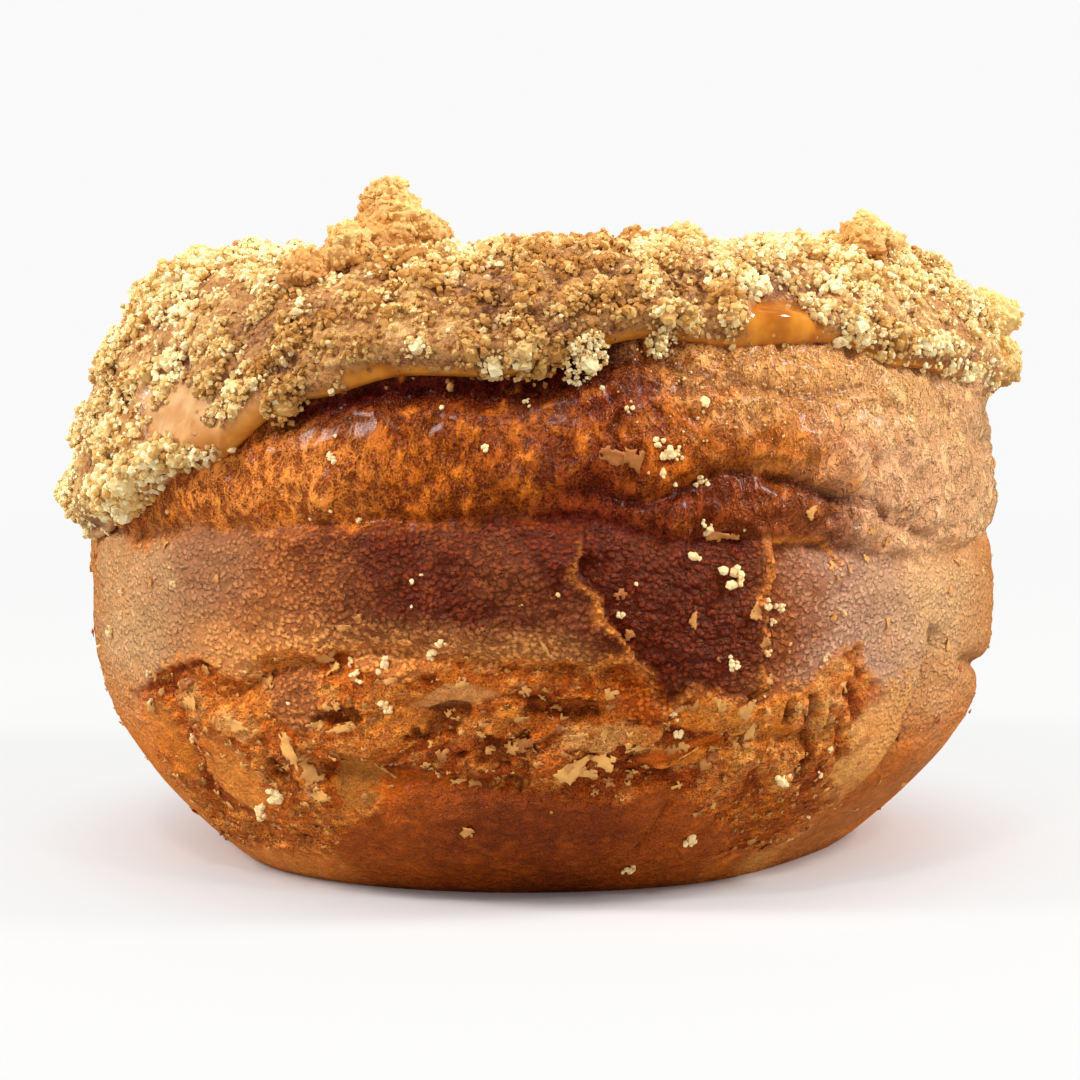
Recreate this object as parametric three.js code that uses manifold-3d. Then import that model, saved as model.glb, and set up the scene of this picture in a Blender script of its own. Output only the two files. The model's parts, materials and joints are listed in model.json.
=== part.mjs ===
// A tall ring doughnut of layered dough, with caramel icing over its top and streusel crumbs on the icing.
// Millimetres, +Z up. The origin is on the table under the middle of the whole object, and the front faces -Y.
// Places round the ring are given as a bearing in degrees round the hole's axis: 0 is the front and 90 is the
// +X side.

import * as THREE from "three";
import { mergeVertices } from "three/addons/utils/BufferGeometryUtils.js";
import Module from "manifold-3d";

const wasm = await Module();
wasm.setup();

// ---------------------------------------------------------------- driving sizes

const holeAxis = { x: -1.98, y: 0.6 }; // where the hole's axis stands; the lump on the right side shifts it

const dough = {
  ringRadius: 26, // from the axis to the middle of the dough's own section
  outerHalf: 17.6, // half width of the section, towards the outside
  innerHalf: 17.4, // and towards the hole, which is 2 x 8.6 mm across at its waist
  crest: 54.6, // highest level of the bare dough
  sunk: 1.5, // how far the round underside is flattened by its own weight
  squareness: { outerTop: 3.3, outerBottom: 1.9, innerTop: 2.3, innerBottom: 2.2 },
};
const icing = { gap: 0.35, thickness: 1.5, lip: 0.35, edgeThickness: 0.45, holeEdge: 42.5 };
const crumb = {
  smallest: 1.15, largest: 2.3, flatness: 0.75, count: 84, sunk: 1.05, edgeMargin: 0.1, bed: 1.1,
};
// Steps of the facets: round the ring, and along the section under the icing, down the hole, across the
// underside and up the outer wall.
const mesh = { columns: 90, frontBias: 0.36, icingRows: 7, holeRows: 3, undersideRows: 4, wallRows: 15 };

// The dough's section, from its lowest to its highest level.
const halfHeight = (dough.crest + dough.sunk) / 2;
const middle = dough.crest - halfHeight;

// Height of the icing's lower edge on the outside: [bearing, height].
const icingEdge = [
  [-180, 41], [-152, 37.5], [-128, 40], [-100, 31.5], [-75, 30], [-59, 32.9], [-41, 38.6], [-27, 44.7],
  [-15, 46.4], [-4, 46], [13, 48.7], [24, 48.1], [38, 48.7], [51, 46.6], [70, 44.7], [96, 41.5],
  [124, 45], [150, 39.5], [180, 41],
];

// Grooves that run along the wall: path is [bearing, height].
const folds = [
  { depth: 1.0, width: 1.7, closed: true, path: [
    [-180, 34], [-125, 31], [-60, 31.5], [-42, 33], [-15, 34.7], [3, 35], [18, 33], [60, 29.5], [120, 33],
    [180, 34]] },
  { depth: 1.1, width: 1.4, path: [[4, 37.2], [12, 36.2], [22, 38.3], [42, 35.5], [48, 32.8], [60, 30.6]] },
  { depth: 0.6, width: 1.2, path: [[13, 47.2], [22, 45.6], [32, 44.4], [45, 45.2]] },
  { depth: 1.5, width: 1.8, path: [[-41, 18.2], [-28, 21.6], [-19, 23.2], [0, 22.4], [8, 22], [14, 19.8]] },
  { depth: 1.1, width: 1.6, path: [[-32, 12.4], [-15, 11.5], [0, 11.2], [12, 11.8], [26, 15.6], [37, 14.8]] },
  { depth: 1.2, width: 1.5, path: [[-176, 22], [-146, 18.5], [-118, 21], [-102, 19]] },
  { depth: 1.0, width: 1.2, path: [[-165, 39], [-140, 42], [-112, 40]] },
  { depth: 1.3, width: 1.5, path: [[66, 19], [92, 16.5], [128, 20], [166, 23.5]] },
  { depth: 0.9, width: 1.2, path: [[84, 10], [112, 8.5], [140, 11.5]] },
];

// Grooves that run up the wall: path is [height, bearing], from low to high.
const clefts = [
  { depth: 2.5, width: 1.6, path: [
    [4, 46.5], [8, 48.8], [11.1, 50.7], [14.2, 52.1], [19.2, 54.5], [22.5, 55.5]] },
  { depth: 1.7, width: 1.5, path: [[3, -118], [12, -113], [25, -116]] },
  { depth: 1.8, width: 1.5, path: [[3, 152], [14, 147], [27, 150]] },
  { depth: 1.2, width: 1.4, path: [[5, -52], [13, -49], [19, -51]] },
];

// Edges where a sheet of crust has lifted on the side of the lower bearing: path is [height, bearing].
const crustEdges = [
  { lift: 1.2, reach: 9, drop: 0.4, path: [
    [19.1, 14], [21.7, 12.6], [23.4, 10.3], [27.7, 6.9], [30.2, 4.2], [32.7, 4.9], [36.5, 5]] },
  { lift: 0.75, reach: 4, drop: 0.3, path: [
    [19.8, 26.6], [22.4, 25.7], [25, 26.4], [27.6, 26], [30.1, 27], [32.9, 27.4]] },
  { lift: 0.8, reach: 8, drop: 0.3, path: [[15, -92], [22, -95], [27, -91], [31, -93]] },
  { lift: 0.8, reach: 8, drop: 0.3, path: [[17, 121], [22, 117], [28, 119], [33, 116]] },
  { lift: 0.7, reach: 7, drop: 0.3, path: [[14, 176], [20, 172], [26, 174], [30, 171]] },
];

// Rounded swellings (+) and hollows (-): bearing, height, half width in degrees, half height, size.
const swellings = [
  [-12, 40.5, 40, 4.5, 0.7], [32, 41.5, 22, 4, 0.6], [-6, 17.2, 17, 4.6, -1.7], [-3, 6.6, 24, 4.6, 0.9],
  [-42, 14, 10, 6, 0.5], [24, 18, 9, 5, 0.8], [42, 12, 9, 8, 0.7], [66, 12, 12, 9, 0.3], [-85, 28, 20, 5, 0.3],
  [-86, 47.5, 42, 8, -1.7], [-78, 16.5, 26, 6, 0.7], [78, 17, 20, 6, 0.9], [86, 34, 25, 8, 0.2],
  [-128, 12, 14, 7, 0.8], [-150, 30, 22, 7, 0.7], [-172, 15, 12, 5, -1.3], [104, 24, 22, 6, 0.7],
  [128, 12, 12, 5, -1.2], [168, 9, 12, 6, 0.8], [150, 31, 25, 6, 0.6],
];

// Stretches of torn, flaky crust: bearing, height, half width in degrees, half height in mm.
const tornPatches = [
  [-8, 17.5, 26, 6], [26, 18, 12, 6.5], [-44, 18, 11, 5], [-104, 15, 20, 6], [-166, 15, 22, 6],
  [116, 14, 26, 6],
];
const crag = { depth: 0.6, perTurn: 37, perHeight: 0.95 };
const plan = { oval: 0.4, ovalAt: 25, threeLobed: 0.3, threeLobedAt: -50, fiveLobed: 0.2 };
const top = { lean: 0.7, leanAt: 70, waves: 0.45, wavesAt: 30 };
// Where the foot of the wall draws in: bearing, half width in degrees, height at which it has faded out, depth.
const undercuts = [[8, 42, 15, 4.3], [60, 24, 12, 3.6], [-70, 13, 13, 1.3]];

// Bare patches in the crumbs: bearing, height, half width in degrees, half height in mm.
const barePatches = [[27, 50.6, 8, 2.2], [-46, 42, 12, 3.4], [96, 46, 12, 3], [-140, 44, 12, 3]];

// Lumps of streusel: bearing, position over the icing (0 outer edge, 1 edge in the hole), and the balls that
// each is clumped from: [sideways, inwards, up, radius].
const lumps = {
  streusel_lump_back: { bearing: -148, over: 0.52, balls: [
    [1.2, 0, 3.0, 4.3], [4.6, 0.4, 1.8, 3.3], [-3.0, -0.2, 1.6, 3.2], [1.2, 0.2, 6.4, 2.7]] },
  streusel_lump_right: { bearing: 98, over: 0.075, balls: [
    [0, 1.5, 1.6, 3.1], [0, -2.3, 1.3, 2.7]] },
  streusel_lump_left: { bearing: -31, over: 0.27, balls: [
    [1.0, 1.3, 1.1, 2.7], [-1.3, -1.6, 0.8, 2.2]] },
  streusel_lump_top: { bearing: 71, over: 0.31, balls: [
    [-3.7, 0, 0.7, 2.5], [0, 0.4, 1.0, 2.8], [3.6, -0.2, 0.6, 2.4]] },
  streusel_lump_side: { bearing: -112, over: 0.33, balls: [[-0.8, 0, 0.9, 2.7], [1.9, 0.9, 0.7, 2.2]] },
  streusel_lump_far: { bearing: 150, over: 0.42, balls: [[-0.7, 0.6, 1.0, 2.8], [2.1, -0.8, 0.7, 2.3]] },
};

// Loose flakes that stick to the wall: bearing, height, half length, half width, turn in degrees.
const flakes = [
  [10.3, 39.8, 2.4, 1.1, -8], [18.9, 38, 1.1, 0.8, 80], [22, 30.1, 1.2, 0.9, 60], [-26.5, 22.8, 2.3, 1.0, 15],
  [5.9, 13.7, 2.3, 1.3, 20], [-8, 14.2, 1.6, 1.0, -20], [-24, 13, 1.8, 1.3, 70], [-19, 19, 1.5, 0.9, 75],
  [33, 21.5, 1.8, 0.8, 85], [-104, 27, 1.6, 0.9, 10], [-130, 20, 2.0, 1.1, 30], [-160, 26, 1.6, 0.9, -30],
  [97, 28, 1.8, 1.0, 20], [120, 13, 2.0, 1.2, -15], [150, 20, 1.7, 1.0, 70], [175, 33, 1.6, 0.9, 5],
];
const flakeThickness = 0.75;

// ---------------------------------------------------------------- small helpers

const radians = THREE.MathUtils.degToRad;
const bell = (distance, width) => Math.exp(-((distance / width) ** 2));
const smooth = THREE.MathUtils.smoothstep; // smooth(x, low, high)

// The shorter way round from one bearing to another, in degrees.
const turnBetween = (from, to) => ((((to - from + 180) % 360) + 360) % 360) - 180;

// Reads a path of [place, value] at a place, with rounded steps between its points.
function along(path, place) {
  if (place <= path[0][0]) return path[0][1];
  for (let i = 1; i < path.length; i += 1) {
    const [p0, v0] = path[i - 1];
    const [p1, v1] = path[i];
    if (place <= p1) return v0 + (v1 - v0) * smooth(place, p0, p1);
  }
  return path.at(-1)[1];
}

// 1 inside a path's own stretch, and fading to 0 over `fade` past each end.
function within(path, place, fade) {
  const first = path[0][0];
  const last = path.at(-1)[0];
  return smooth(place, first - fade, first + fade) * (1 - smooth(place, last - fade, last + fade));
}

// A repeatable stream of numbers from 0 to 1.
function seeded(seed) {
  let state = seed >>> 0;
  return () => {
    state = (Math.imul(state, 1664525) + 1013904223) >>> 0;
    return state / 4294967296;
  };
}

// ---------------------------------------------------------------- the dough's surface

// How far the wall stands in or out of its plain form at a bearing and a height.
function wallRelief(bearing, height) {
  let out = 0;
  for (const fold of folds) {
    const reach = fold.closed ? 1 : within(fold.path, bearing, 5);
    out -= fold.depth * reach * bell(height - along(fold.path, bearing), fold.width);
  }
  const perDegree = radians(dough.ringRadius + dough.outerHalf);
  for (const cleft of clefts) {
    const aside = turnBetween(along(cleft.path, height), bearing) * perDegree;
    out -= cleft.depth * within(cleft.path, height, 2.5) * bell(aside, cleft.width);
  }
  for (const edge of crustEdges) {
    const aside = turnBetween(along(edge.path, height), bearing) * perDegree;
    const raised = aside < 0 ? edge.lift * Math.exp(aside / edge.reach) : -edge.drop * Math.exp(-aside / 3);
    out += within(edge.path, height, 1.2) * (Math.abs(aside) < 4 * edge.reach ? raised : 0);
  }
  for (const [at, level, halfTurn, halfRise, size] of swellings) {
    out += size * bell(turnBetween(at, bearing), halfTurn) * bell(height - level, halfRise);
  }
  return out + cragRelief(bearing, height);
}

function cragRelief(bearing, height) {
  const torn = tornPatches.reduce(
    (sum, [at, level, halfTurn, halfRise]) =>
      sum + bell(turnBetween(at, bearing), halfTurn) * bell(height - level, halfRise), 0);
  const turn = radians(bearing);
  const rough =
    Math.sin(turn * crag.perTurn + 3 * Math.sin(height * 0.4)) *
    Math.sin(height * crag.perHeight + 2 * Math.sin(turn * 17));
  return crag.depth * Math.min(torn, 1) * rough;
}

// The bare dough at a bearing and an angle round its section (0 outermost, 90 crest, 180 in the hole),
// moved `lift` along its own normal.
function doughPoint(bearing, sectionAngle, lift = 0) {
  const turn = radians(bearing);
  const c = Math.cos(sectionAngle);
  const s = Math.sin(sectionAngle);
  const q = dough.squareness;
  const power = c > 0 ? (s > 0 ? q.outerTop : q.outerBottom) : s > 0 ? q.innerTop : q.innerBottom;
  const scale = (Math.abs(c) ** power + Math.abs(s) ** power) ** (-1 / power);
  const half = c > 0 ? dough.outerHalf : dough.innerHalf;
  let r = dough.ringRadius + half * c * scale;
  let z = middle + halfHeight * s * scale;

  const normal = new THREE.Vector2(
    (Math.sign(c) * Math.abs(c * scale) ** (power - 1)) / half,
    (Math.sign(s) * Math.abs(s * scale) ** (power - 1)) / halfHeight,
  ).normalize();
  const onWall = smooth(normal.x, 0.15, 0.7) * smooth(z, 0.6, 5);
  const outward =
    lift + onWall * wallRelief(bearing, z) +
    Math.max(normal.x, 0) * (plan.oval * Math.cos(2 * turn - radians(plan.ovalAt)) +
      plan.threeLobed * Math.cos(3 * turn - radians(plan.threeLobedAt)) + plan.fiveLobed * Math.sin(5 * turn));
  r += outward * normal.x;
  z += outward * normal.y;

  z += smooth(z, 30, dough.crest) *
    (top.lean * Math.cos(turn - radians(top.leanAt)) + top.waves * Math.cos(4 * turn - radians(top.wavesAt)));
  for (const [at, halfTurn, upTo, depth] of undercuts) {
    r -= depth * bell(turnBetween(at, bearing), halfTurn) * (1 - smooth(z, 0, upTo)) * smooth(c, 0, 0.5);
  }
  return new THREE.Vector3(r * Math.sin(turn), -r * Math.cos(turn), Math.max(z, 0));
}

// The section angle on the outside (or in the hole) at which the plain section has a height above the middle.
function sectionAngleAt(height, inHole) {
  const power = inHole ? dough.squareness.innerTop : dough.squareness.outerTop;
  const rise = (height - middle) / halfHeight;
  const angle = Math.atan2(rise, (1 - rise ** power) ** (1 / power));
  return inHole ? Math.PI - angle : angle;
}

// The icing's outer face: `over` runs from 0 at the outer edge, over the crest, to 1 in the hole.
function icingSectionAngle(bearing, over) {
  const outerEdge = sectionAngleAt(along(icingEdge, bearing), false);
  const holeEdge = sectionAngleAt(icing.holeEdge + 1.4 * Math.sin(radians(3 * bearing)), true);
  return outerEdge + (holeEdge - outerEdge) * over;
}

function icingThickness(bearing, over) {
  const fromEdge = Math.min(over, 1 - over);
  const body = icing.thickness + icing.lip * bell(fromEdge - 0.07, 0.05);
  const ripple = 0.22 * Math.sin(radians(bearing) * 11 + over * 9) * Math.sin(over * 23 + radians(bearing) * 5);
  return THREE.MathUtils.lerp(icing.edgeThickness, body + ripple, smooth(fromEdge, 0, 0.06));
}

function icingPoint(bearing, over, above = 0) {
  return doughPoint(bearing, icingSectionAngle(bearing, over), icing.gap + icingThickness(bearing, over) + above);
}

// Unevenness that the fine crumbs give the icing's upper face.
function crumbBed(bearing, over) {
  const turn = radians(bearing);
  const uneven = Math.sin(turn * 37 + over * 31) * Math.sin(over * 53 + turn * 19 + 1);
  const fromEdge = Math.min(over, 1 - over);
  return crumb.bed * smooth(fromEdge, 0.06, 0.14) * crumbCover(bearing, over) * (0.55 + 0.45 * uneven);
}

// ---------------------------------------------------------------- solids

// A closed ring of `rows` points round its section: place(bearing, row) gives each point.
function ringGeometry(rows, place) {
  const stand = Array.from({ length: rows + 1 }, () => new THREE.Vector2(1, 0));
  const geometry = new THREE.LatheGeometry(stand, mesh.columns);
  const position = geometry.getAttribute("position");
  for (let column = 0; column <= mesh.columns; column += 1) {
    const even = ((column % mesh.columns) / mesh.columns) * 2 * Math.PI;
    const bearing = THREE.MathUtils.radToDeg(even - mesh.frontBias * Math.sin(even));
    for (let row = 0; row <= rows; row += 1) {
      const p = place(bearing > 180 ? bearing - 360 : bearing, row % rows);
      position.setXYZ(column * (rows + 1) + row, p.x, p.y, p.z);
    }
  }
  return geometry;
}

function toSolid(geometry) {
  const bare = geometry.clone();
  bare.deleteAttribute("normal");
  bare.deleteAttribute("uv");
  const merged = mergeVertices(bare, 1e-4);
  const vertProperties = new Float32Array(merged.getAttribute("position").array);
  const triVerts = new Uint32Array(merged.index.array);
  return new wasm.Manifold(new wasm.Mesh({ numProp: 3, vertProperties, triVerts }));
}

function toGeometry(solid, origin = new THREE.Vector3()) {
  const { numProp, vertProperties, triVerts } = solid.getMesh();
  const position = new Float32Array((vertProperties.length / numProp) * 3);
  for (let i = 0; i * numProp < vertProperties.length; i += 1) {
    position[3 * i] = vertProperties[i * numProp] - origin.x;
    position[3 * i + 1] = vertProperties[i * numProp + 1] - origin.y;
    position[3 * i + 2] = vertProperties[i * numProp + 2] - origin.z;
  }
  const geometry = new THREE.BufferGeometry();
  geometry.setAttribute("position", new THREE.BufferAttribute(position, 3));
  geometry.setIndex(new THREE.BufferAttribute(triVerts, 1));
  geometry.computeVertexNormals();
  return geometry;
}

// A rough ball: an icosahedron whose corners are pushed in and out.
function roughBall(random, radius, detail, roughness) {
  const ball = new THREE.IcosahedronGeometry(1, detail);
  ball.deleteAttribute("normal");
  ball.deleteAttribute("uv");
  const merged = mergeVertices(ball, 1e-4);
  const position = merged.getAttribute("position");
  for (let i = 0; i < position.count; i += 1) {
    const push = radius * (1 + roughness * (2 * random() - 1));
    position.setXYZ(i, position.getX(i) * push, position.getY(i) * push, position.getZ(i) * push);
  }
  return merged;
}

// Axes at a place on the icing: sideways round the ring, inwards over it, and up out of it.
function icingAxes(bearing, over) {
  const here = icingPoint(bearing, over);
  const sideways = icingPoint(bearing + 1, over).sub(icingPoint(bearing - 1, over)).normalize();
  const inwards = icingPoint(bearing, over + 0.02).sub(icingPoint(bearing, over - 0.02)).normalize();
  const up = new THREE.Vector3().crossVectors(sideways, inwards).normalize();
  return { here, sideways, inwards, up };
}

// The section angle of each row of the dough. Its rows under the icing are the icing's own, so that the two
// faces keep an even gap.
function doughRowAngle(bearing, row) {
  const { icingRows, holeRows, undersideRows, wallRows } = mesh;
  const inHole = row - icingRows;
  const below = inHole - holeRows;
  const upWall = below - undersideRows;
  const holeFoot = 1.28 * Math.PI;
  const wallFoot = 1.68 * Math.PI;
  if (inHole <= 0) return icingSectionAngle(bearing, row / icingRows);
  if (below <= 0) return THREE.MathUtils.lerp(icingSectionAngle(bearing, 1), holeFoot, inHole / holeRows);
  if (upWall <= 0) return THREE.MathUtils.lerp(holeFoot, wallFoot, below / undersideRows);
  return THREE.MathUtils.lerp(wallFoot, icingSectionAngle(bearing, 0) + 2 * Math.PI, upWall / wallRows);
}

function doughSolid() {
  const rows = mesh.icingRows + mesh.holeRows + mesh.undersideRows + mesh.wallRows;
  const body = toSolid(ringGeometry(rows, (bearing, row) => doughPoint(bearing, doughRowAngle(bearing, row))));
  const random = seeded(11);
  return flakes.reduce((solid, [bearing, height, halfLength, halfWidth, turn]) => {
    const angle = height > middle ? sectionAngleAt(height, false) : -lowerSectionAngle(height);
    const here = doughPoint(bearing, angle, flakeThickness * 0.2);
    const chip = roughBall(random, 1, 0, 0.2);
    chip.scale(halfLength, flakeThickness, halfWidth);
    chip.rotateY(radians(-turn));
    chip.rotateZ(radians(bearing));
    chip.translate(here.x, here.y, here.z);
    return solid.add(toSolid(chip));
  }, body);
}

// The section angle below the middle at which the plain section has a height.
function lowerSectionAngle(height) {
  const power = dough.squareness.outerBottom;
  const fall = (middle - height) / halfHeight;
  return Math.atan2(fall, (1 - fall ** power) ** (1 / power));
}

// The icing's own ring: out over its upper face and back under it, with `grow` added above.
function icingRing(grow = 0) {
  const rows = mesh.icingRows;
  return toSolid(ringGeometry(2 * rows + 2, (bearing, row) => {
    if (row <= rows) return icingPoint(bearing, row / rows, grow + crumbBed(bearing, row / rows));
    const back = (2 * rows + 1 - row) / rows;
    return doughPoint(bearing, icingSectionAngle(bearing, back), grow > 0 ? -1 : icing.gap);
  }));
}

// How thickly crumbs lie at a place on the icing, from 0 to 1.
function crumbCover(bearing, over) {
  const height = icingPoint(bearing, over).z;
  const bare = barePatches.reduce(
    (sum, [at, level, halfTurn, halfRise]) =>
      sum + (over < 0.5 ? bell(turnBetween(at, bearing), halfTurn) * bell(height - level, halfRise) : 0), 0);
  return Math.max(0, 1 - 1.4 * bare);
}

function nearLump(point) {
  return Object.values(lumps).some(({ bearing, over, balls }) => {
    const { here, sideways, inwards } = icingAxes(bearing, over);
    return balls.some(([side, inward, , radius]) =>
      here.clone().addScaledVector(sideways, side).addScaledVector(inwards, inward).distanceTo(point) <
      radius + crumb.largest + 0.4);
  });
}

function icingSolid() {
  const random = seeded(5);
  const golden = 180 * (3 - Math.sqrt(5));
  let solid = icingRing();
  for (let i = 0; i < crumb.count; i += 1) {
    const bearing = turnBetween(0, i * golden + 4 * random());
    const share = (i + 0.5) / crumb.count;
    const over = crumb.edgeMargin + (0.86 - crumb.edgeMargin) * share ** 1.25;
    const radius = crumb.smallest + (crumb.largest - crumb.smallest) * random() ** 2;
    const { here, up } = icingAxes(bearing, over);
    const wanted = random() < crumbCover(bearing, over);
    if (!wanted || nearLump(here)) continue;
    const ball = roughBall(random, radius, 0, 0.18);
    ball.rotateX(6 * random());
    ball.rotateZ(6 * random());
    ball.scale(1, 1, crumb.flatness);
    ball.applyQuaternion(new THREE.Quaternion().setFromUnitVectors(new THREE.Vector3(0, 0, 1), up));
    const lift = crumb.flatness * radius - crumb.sunk;
    ball.translate(here.x + up.x * lift, here.y + up.y * lift, here.z + up.z * lift);
    solid = solid.add(toSolid(ball));
  }
  return solid;
}

function lumpSolid({ bearing, over, balls }, seed, base) {
  const random = seeded(seed);
  const { here, sideways, inwards, up } = icingAxes(bearing, over);
  const clump = balls
    .map(([side, inward, rise, radius]) => {
      const ball = roughBall(random, radius, 1, 0.15);
      const at = here.clone().addScaledVector(sideways, side).addScaledVector(inwards, inward);
      at.addScaledVector(up, rise);
      return toSolid(ball.translate(at.x, at.y, at.z));
    })
    .reduce((sum, ball) => sum.add(ball));
  return { origin: here, solid: clump.subtract(base) };
}

// ---------------------------------------------------------------- the doughnut

const finishes = {
  crust: new THREE.MeshStandardMaterial({ color: 0x9a5526, roughness: 0.5, metalness: 0 }),
  caramel: new THREE.MeshStandardMaterial({ color: 0xb56e22, roughness: 0.22, metalness: 0 }),
  streusel: new THREE.MeshStandardMaterial({ color: 0xdcb878, roughness: 0.75, metalness: 0 }),
};

const doughnut = new THREE.Group();

function addPiece(name, solid, material, origin = new THREE.Vector3()) {
  const piece = new THREE.Mesh(toGeometry(solid, origin), material);
  piece.name = name;
  piece.position.copy(origin);
  doughnut.add(piece);
}

addPiece("dough_ring", doughSolid(), finishes.crust);
addPiece("caramel_icing", icingSolid(), finishes.caramel);
const lumpBase = icingRing(0.3);
Object.entries(lumps).forEach(([name, lump], index) => {
  const { origin, solid } = lumpSolid(lump, 31 + index, lumpBase);
  addPiece(name, solid, finishes.streusel, origin);
});

doughnut.position.set(holeAxis.x, holeAxis.y, 0);

export default doughnut;
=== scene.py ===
# A caramel doughnut seen from the side: layered fried dough, caramel icing, and streusel crumbs and lumps.
# Lengths are worked out in millimetres and turned into metres when a mesh is finished.
# A place on the ring is a bearing in degrees, 0 at the front and 90 on the right, and a height or an angle
# round the dough's own section. The last number given to a noise is its seed.
import json
import math
import random
import bmesh
import bpy
import numpy as np
from mathutils import Matrix, Vector


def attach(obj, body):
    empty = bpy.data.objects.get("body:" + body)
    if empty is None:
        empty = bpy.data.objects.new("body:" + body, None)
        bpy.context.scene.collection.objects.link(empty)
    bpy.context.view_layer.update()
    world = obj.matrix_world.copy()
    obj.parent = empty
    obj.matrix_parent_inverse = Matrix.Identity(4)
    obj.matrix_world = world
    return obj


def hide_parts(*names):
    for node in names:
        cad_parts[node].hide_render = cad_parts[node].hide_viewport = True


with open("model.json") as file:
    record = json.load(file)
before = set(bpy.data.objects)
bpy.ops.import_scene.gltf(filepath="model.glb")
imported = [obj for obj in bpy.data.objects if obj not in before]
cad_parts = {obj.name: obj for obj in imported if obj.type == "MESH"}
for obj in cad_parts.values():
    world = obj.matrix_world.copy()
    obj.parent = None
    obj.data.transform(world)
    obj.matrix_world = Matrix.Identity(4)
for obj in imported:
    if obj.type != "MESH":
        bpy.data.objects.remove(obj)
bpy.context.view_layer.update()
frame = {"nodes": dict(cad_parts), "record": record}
mm = 0.001
print("frame loaded")


def bell(distance, width):
    return np.exp(-(distance / width) ** 2)


def smooth(value, low, high):
    t = np.clip((value - low) / (high - low), 0, 1)
    return t * t * (3 - 2 * t)


def turnBetween(start, end):  # the shorter way round from one bearing to another
    return (end - start + 180) % 360 - 180


def along(path, place):  # a path of (place, value), read with rounded steps between its points
    places, values = np.array(path, float).T
    i = np.clip(np.searchsorted(places, place) - 1, 0, len(places) - 2)
    t = smooth(place, places[i], places[i + 1])
    return values[i] + (values[i + 1] - values[i]) * t


def between(place, start, end, fade):  # 1 from start to end, 0 outside
    return smooth(place, start - fade, start + fade) * (1 - smooth(place, end - fade, end + fade))


def within(path, place, fade):  # 1 along a path's own stretch, 0 past its ends
    return between(place, path[0][0], path[-1][0], fade)


def softNoise(points, cell, seed=0):  # smooth random values from -1 to 1
    p = points / cell + seed * 13.7
    base = np.floor(p)
    f = p - base
    f = f * f * (3 - 2 * f)
    base = base.astype(np.int64)
    total = np.zeros(len(points))
    for corner in range(8):
        step = np.array([corner & 1, corner >> 1 & 1, corner >> 2])
        n = base + step
        h = (n[:, 0] * 374761393 + n[:, 1] * 668265263 + n[:, 2] * 1440662683 + seed * 974634777) & 0xffffffff
        h = ((h ^ h >> 13) * 1274126177) & 0xffffffff
        value = ((h ^ h >> 16) & 0xffff) / 32767.5 - 1
        total += value * np.prod(np.where(step, f, 1 - f), axis=1)
    return total


def roughNoise(points, cell, octaves=3, seed=0):
    return sum(softNoise(points, cell / 2 ** i, seed + i) / 2 ** i for i in range(octaves)) / 1.6


def ridges(points, cell, octaves=3, seed=0):  # sharp crests, from 0 to 1
    return sum((1 - np.abs(softNoise(points, cell / 2 ** i, seed + i)) * 1.6) / 2 ** i
               for i in range(octaves)) / 1.75


# Millimetres round the hole's axis become metres in the frame.
def finishMesh(piece, fromAxis=True, rounded=True):
    if fromAxis:
        piece.data.transform(Matrix.Translation((*ring["axis"], 0)) @ Matrix.Scale(mm, 4))
    if rounded:
        piece.data.shade_smooth()
    else:
        piece.data.shade_flat()
    piece.data.update()
    return piece


def meshFrom(name, bm, points=None):  # a bmesh as a mesh, with its points moved where new ones are given
    mesh = bpy.data.meshes.new(name)
    bm.to_mesh(mesh)
    bm.free()
    if points is not None:
        mesh.vertices.foreach_set("co", points.astype(np.float32).ravel())
    return mesh


def newPiece(name, mesh, material):
    piece = bpy.data.objects.new(name, mesh)
    bpy.context.scene.collection.objects.link(piece)
    mesh.materials.append(material)
    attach(piece, "root")
    return piece


def paint(mesh, **masks):  # one float attribute for each mask
    for name, values in masks.items():
        mesh.attributes.new(name, "FLOAT", "POINT").data.foreach_set("value", np.asarray(values, np.float32))


def paintColour(mesh, name, colours):
    rgba = np.concatenate([np.clip(colours, 0, 1), np.ones((len(colours), 1))], axis=1).astype(np.float32)
    mesh.attributes.new(name, "FLOAT_COLOR", "POINT").data.foreach_set("color", rgba.ravel())


def meshPoints(mesh):
    flat = np.zeros(len(mesh.vertices) * 3, np.float32)
    mesh.vertices.foreach_get("co", flat)
    return flat.reshape(-1, 3).astype(float)


# The dough's form: the icing, the crumbs and the flakes take their places from it too.
holeLow, holeHigh = frame["record"]["physics"]["openings"][0]["box_m"]
ring = {  # the plain ring, then its own uneven roundness: sizes, and the bearings that they point to
    "axis": ((holeLow[0] + holeHigh[0]) / 2, (holeLow[1] + holeHigh[1]) / 2),  # metres
    "radius": 26, "outerHalf": 17.6, "innerHalf": 17.4,
    "crest": 54.6, "sunk": 1.5,
    "outerTop": 3.3, "outerBottom": 1.9, "innerTop": 2.3, "innerBottom": 2.2,  # how square each quarter is
    "oval": (0.4, 25), "threeLobed": (0.3, -50), "fiveLobed": 0.2,
    "lean": (0.7, 70), "waves": (0.45, 30),
}
halfHeight = (ring["crest"] + ring["sunk"]) / 2
middle = ring["crest"] - halfHeight
wallRadius = ring["radius"] + ring["outerHalf"]
perDegree = math.radians(wallRadius)  # millimetres of wall

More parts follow.
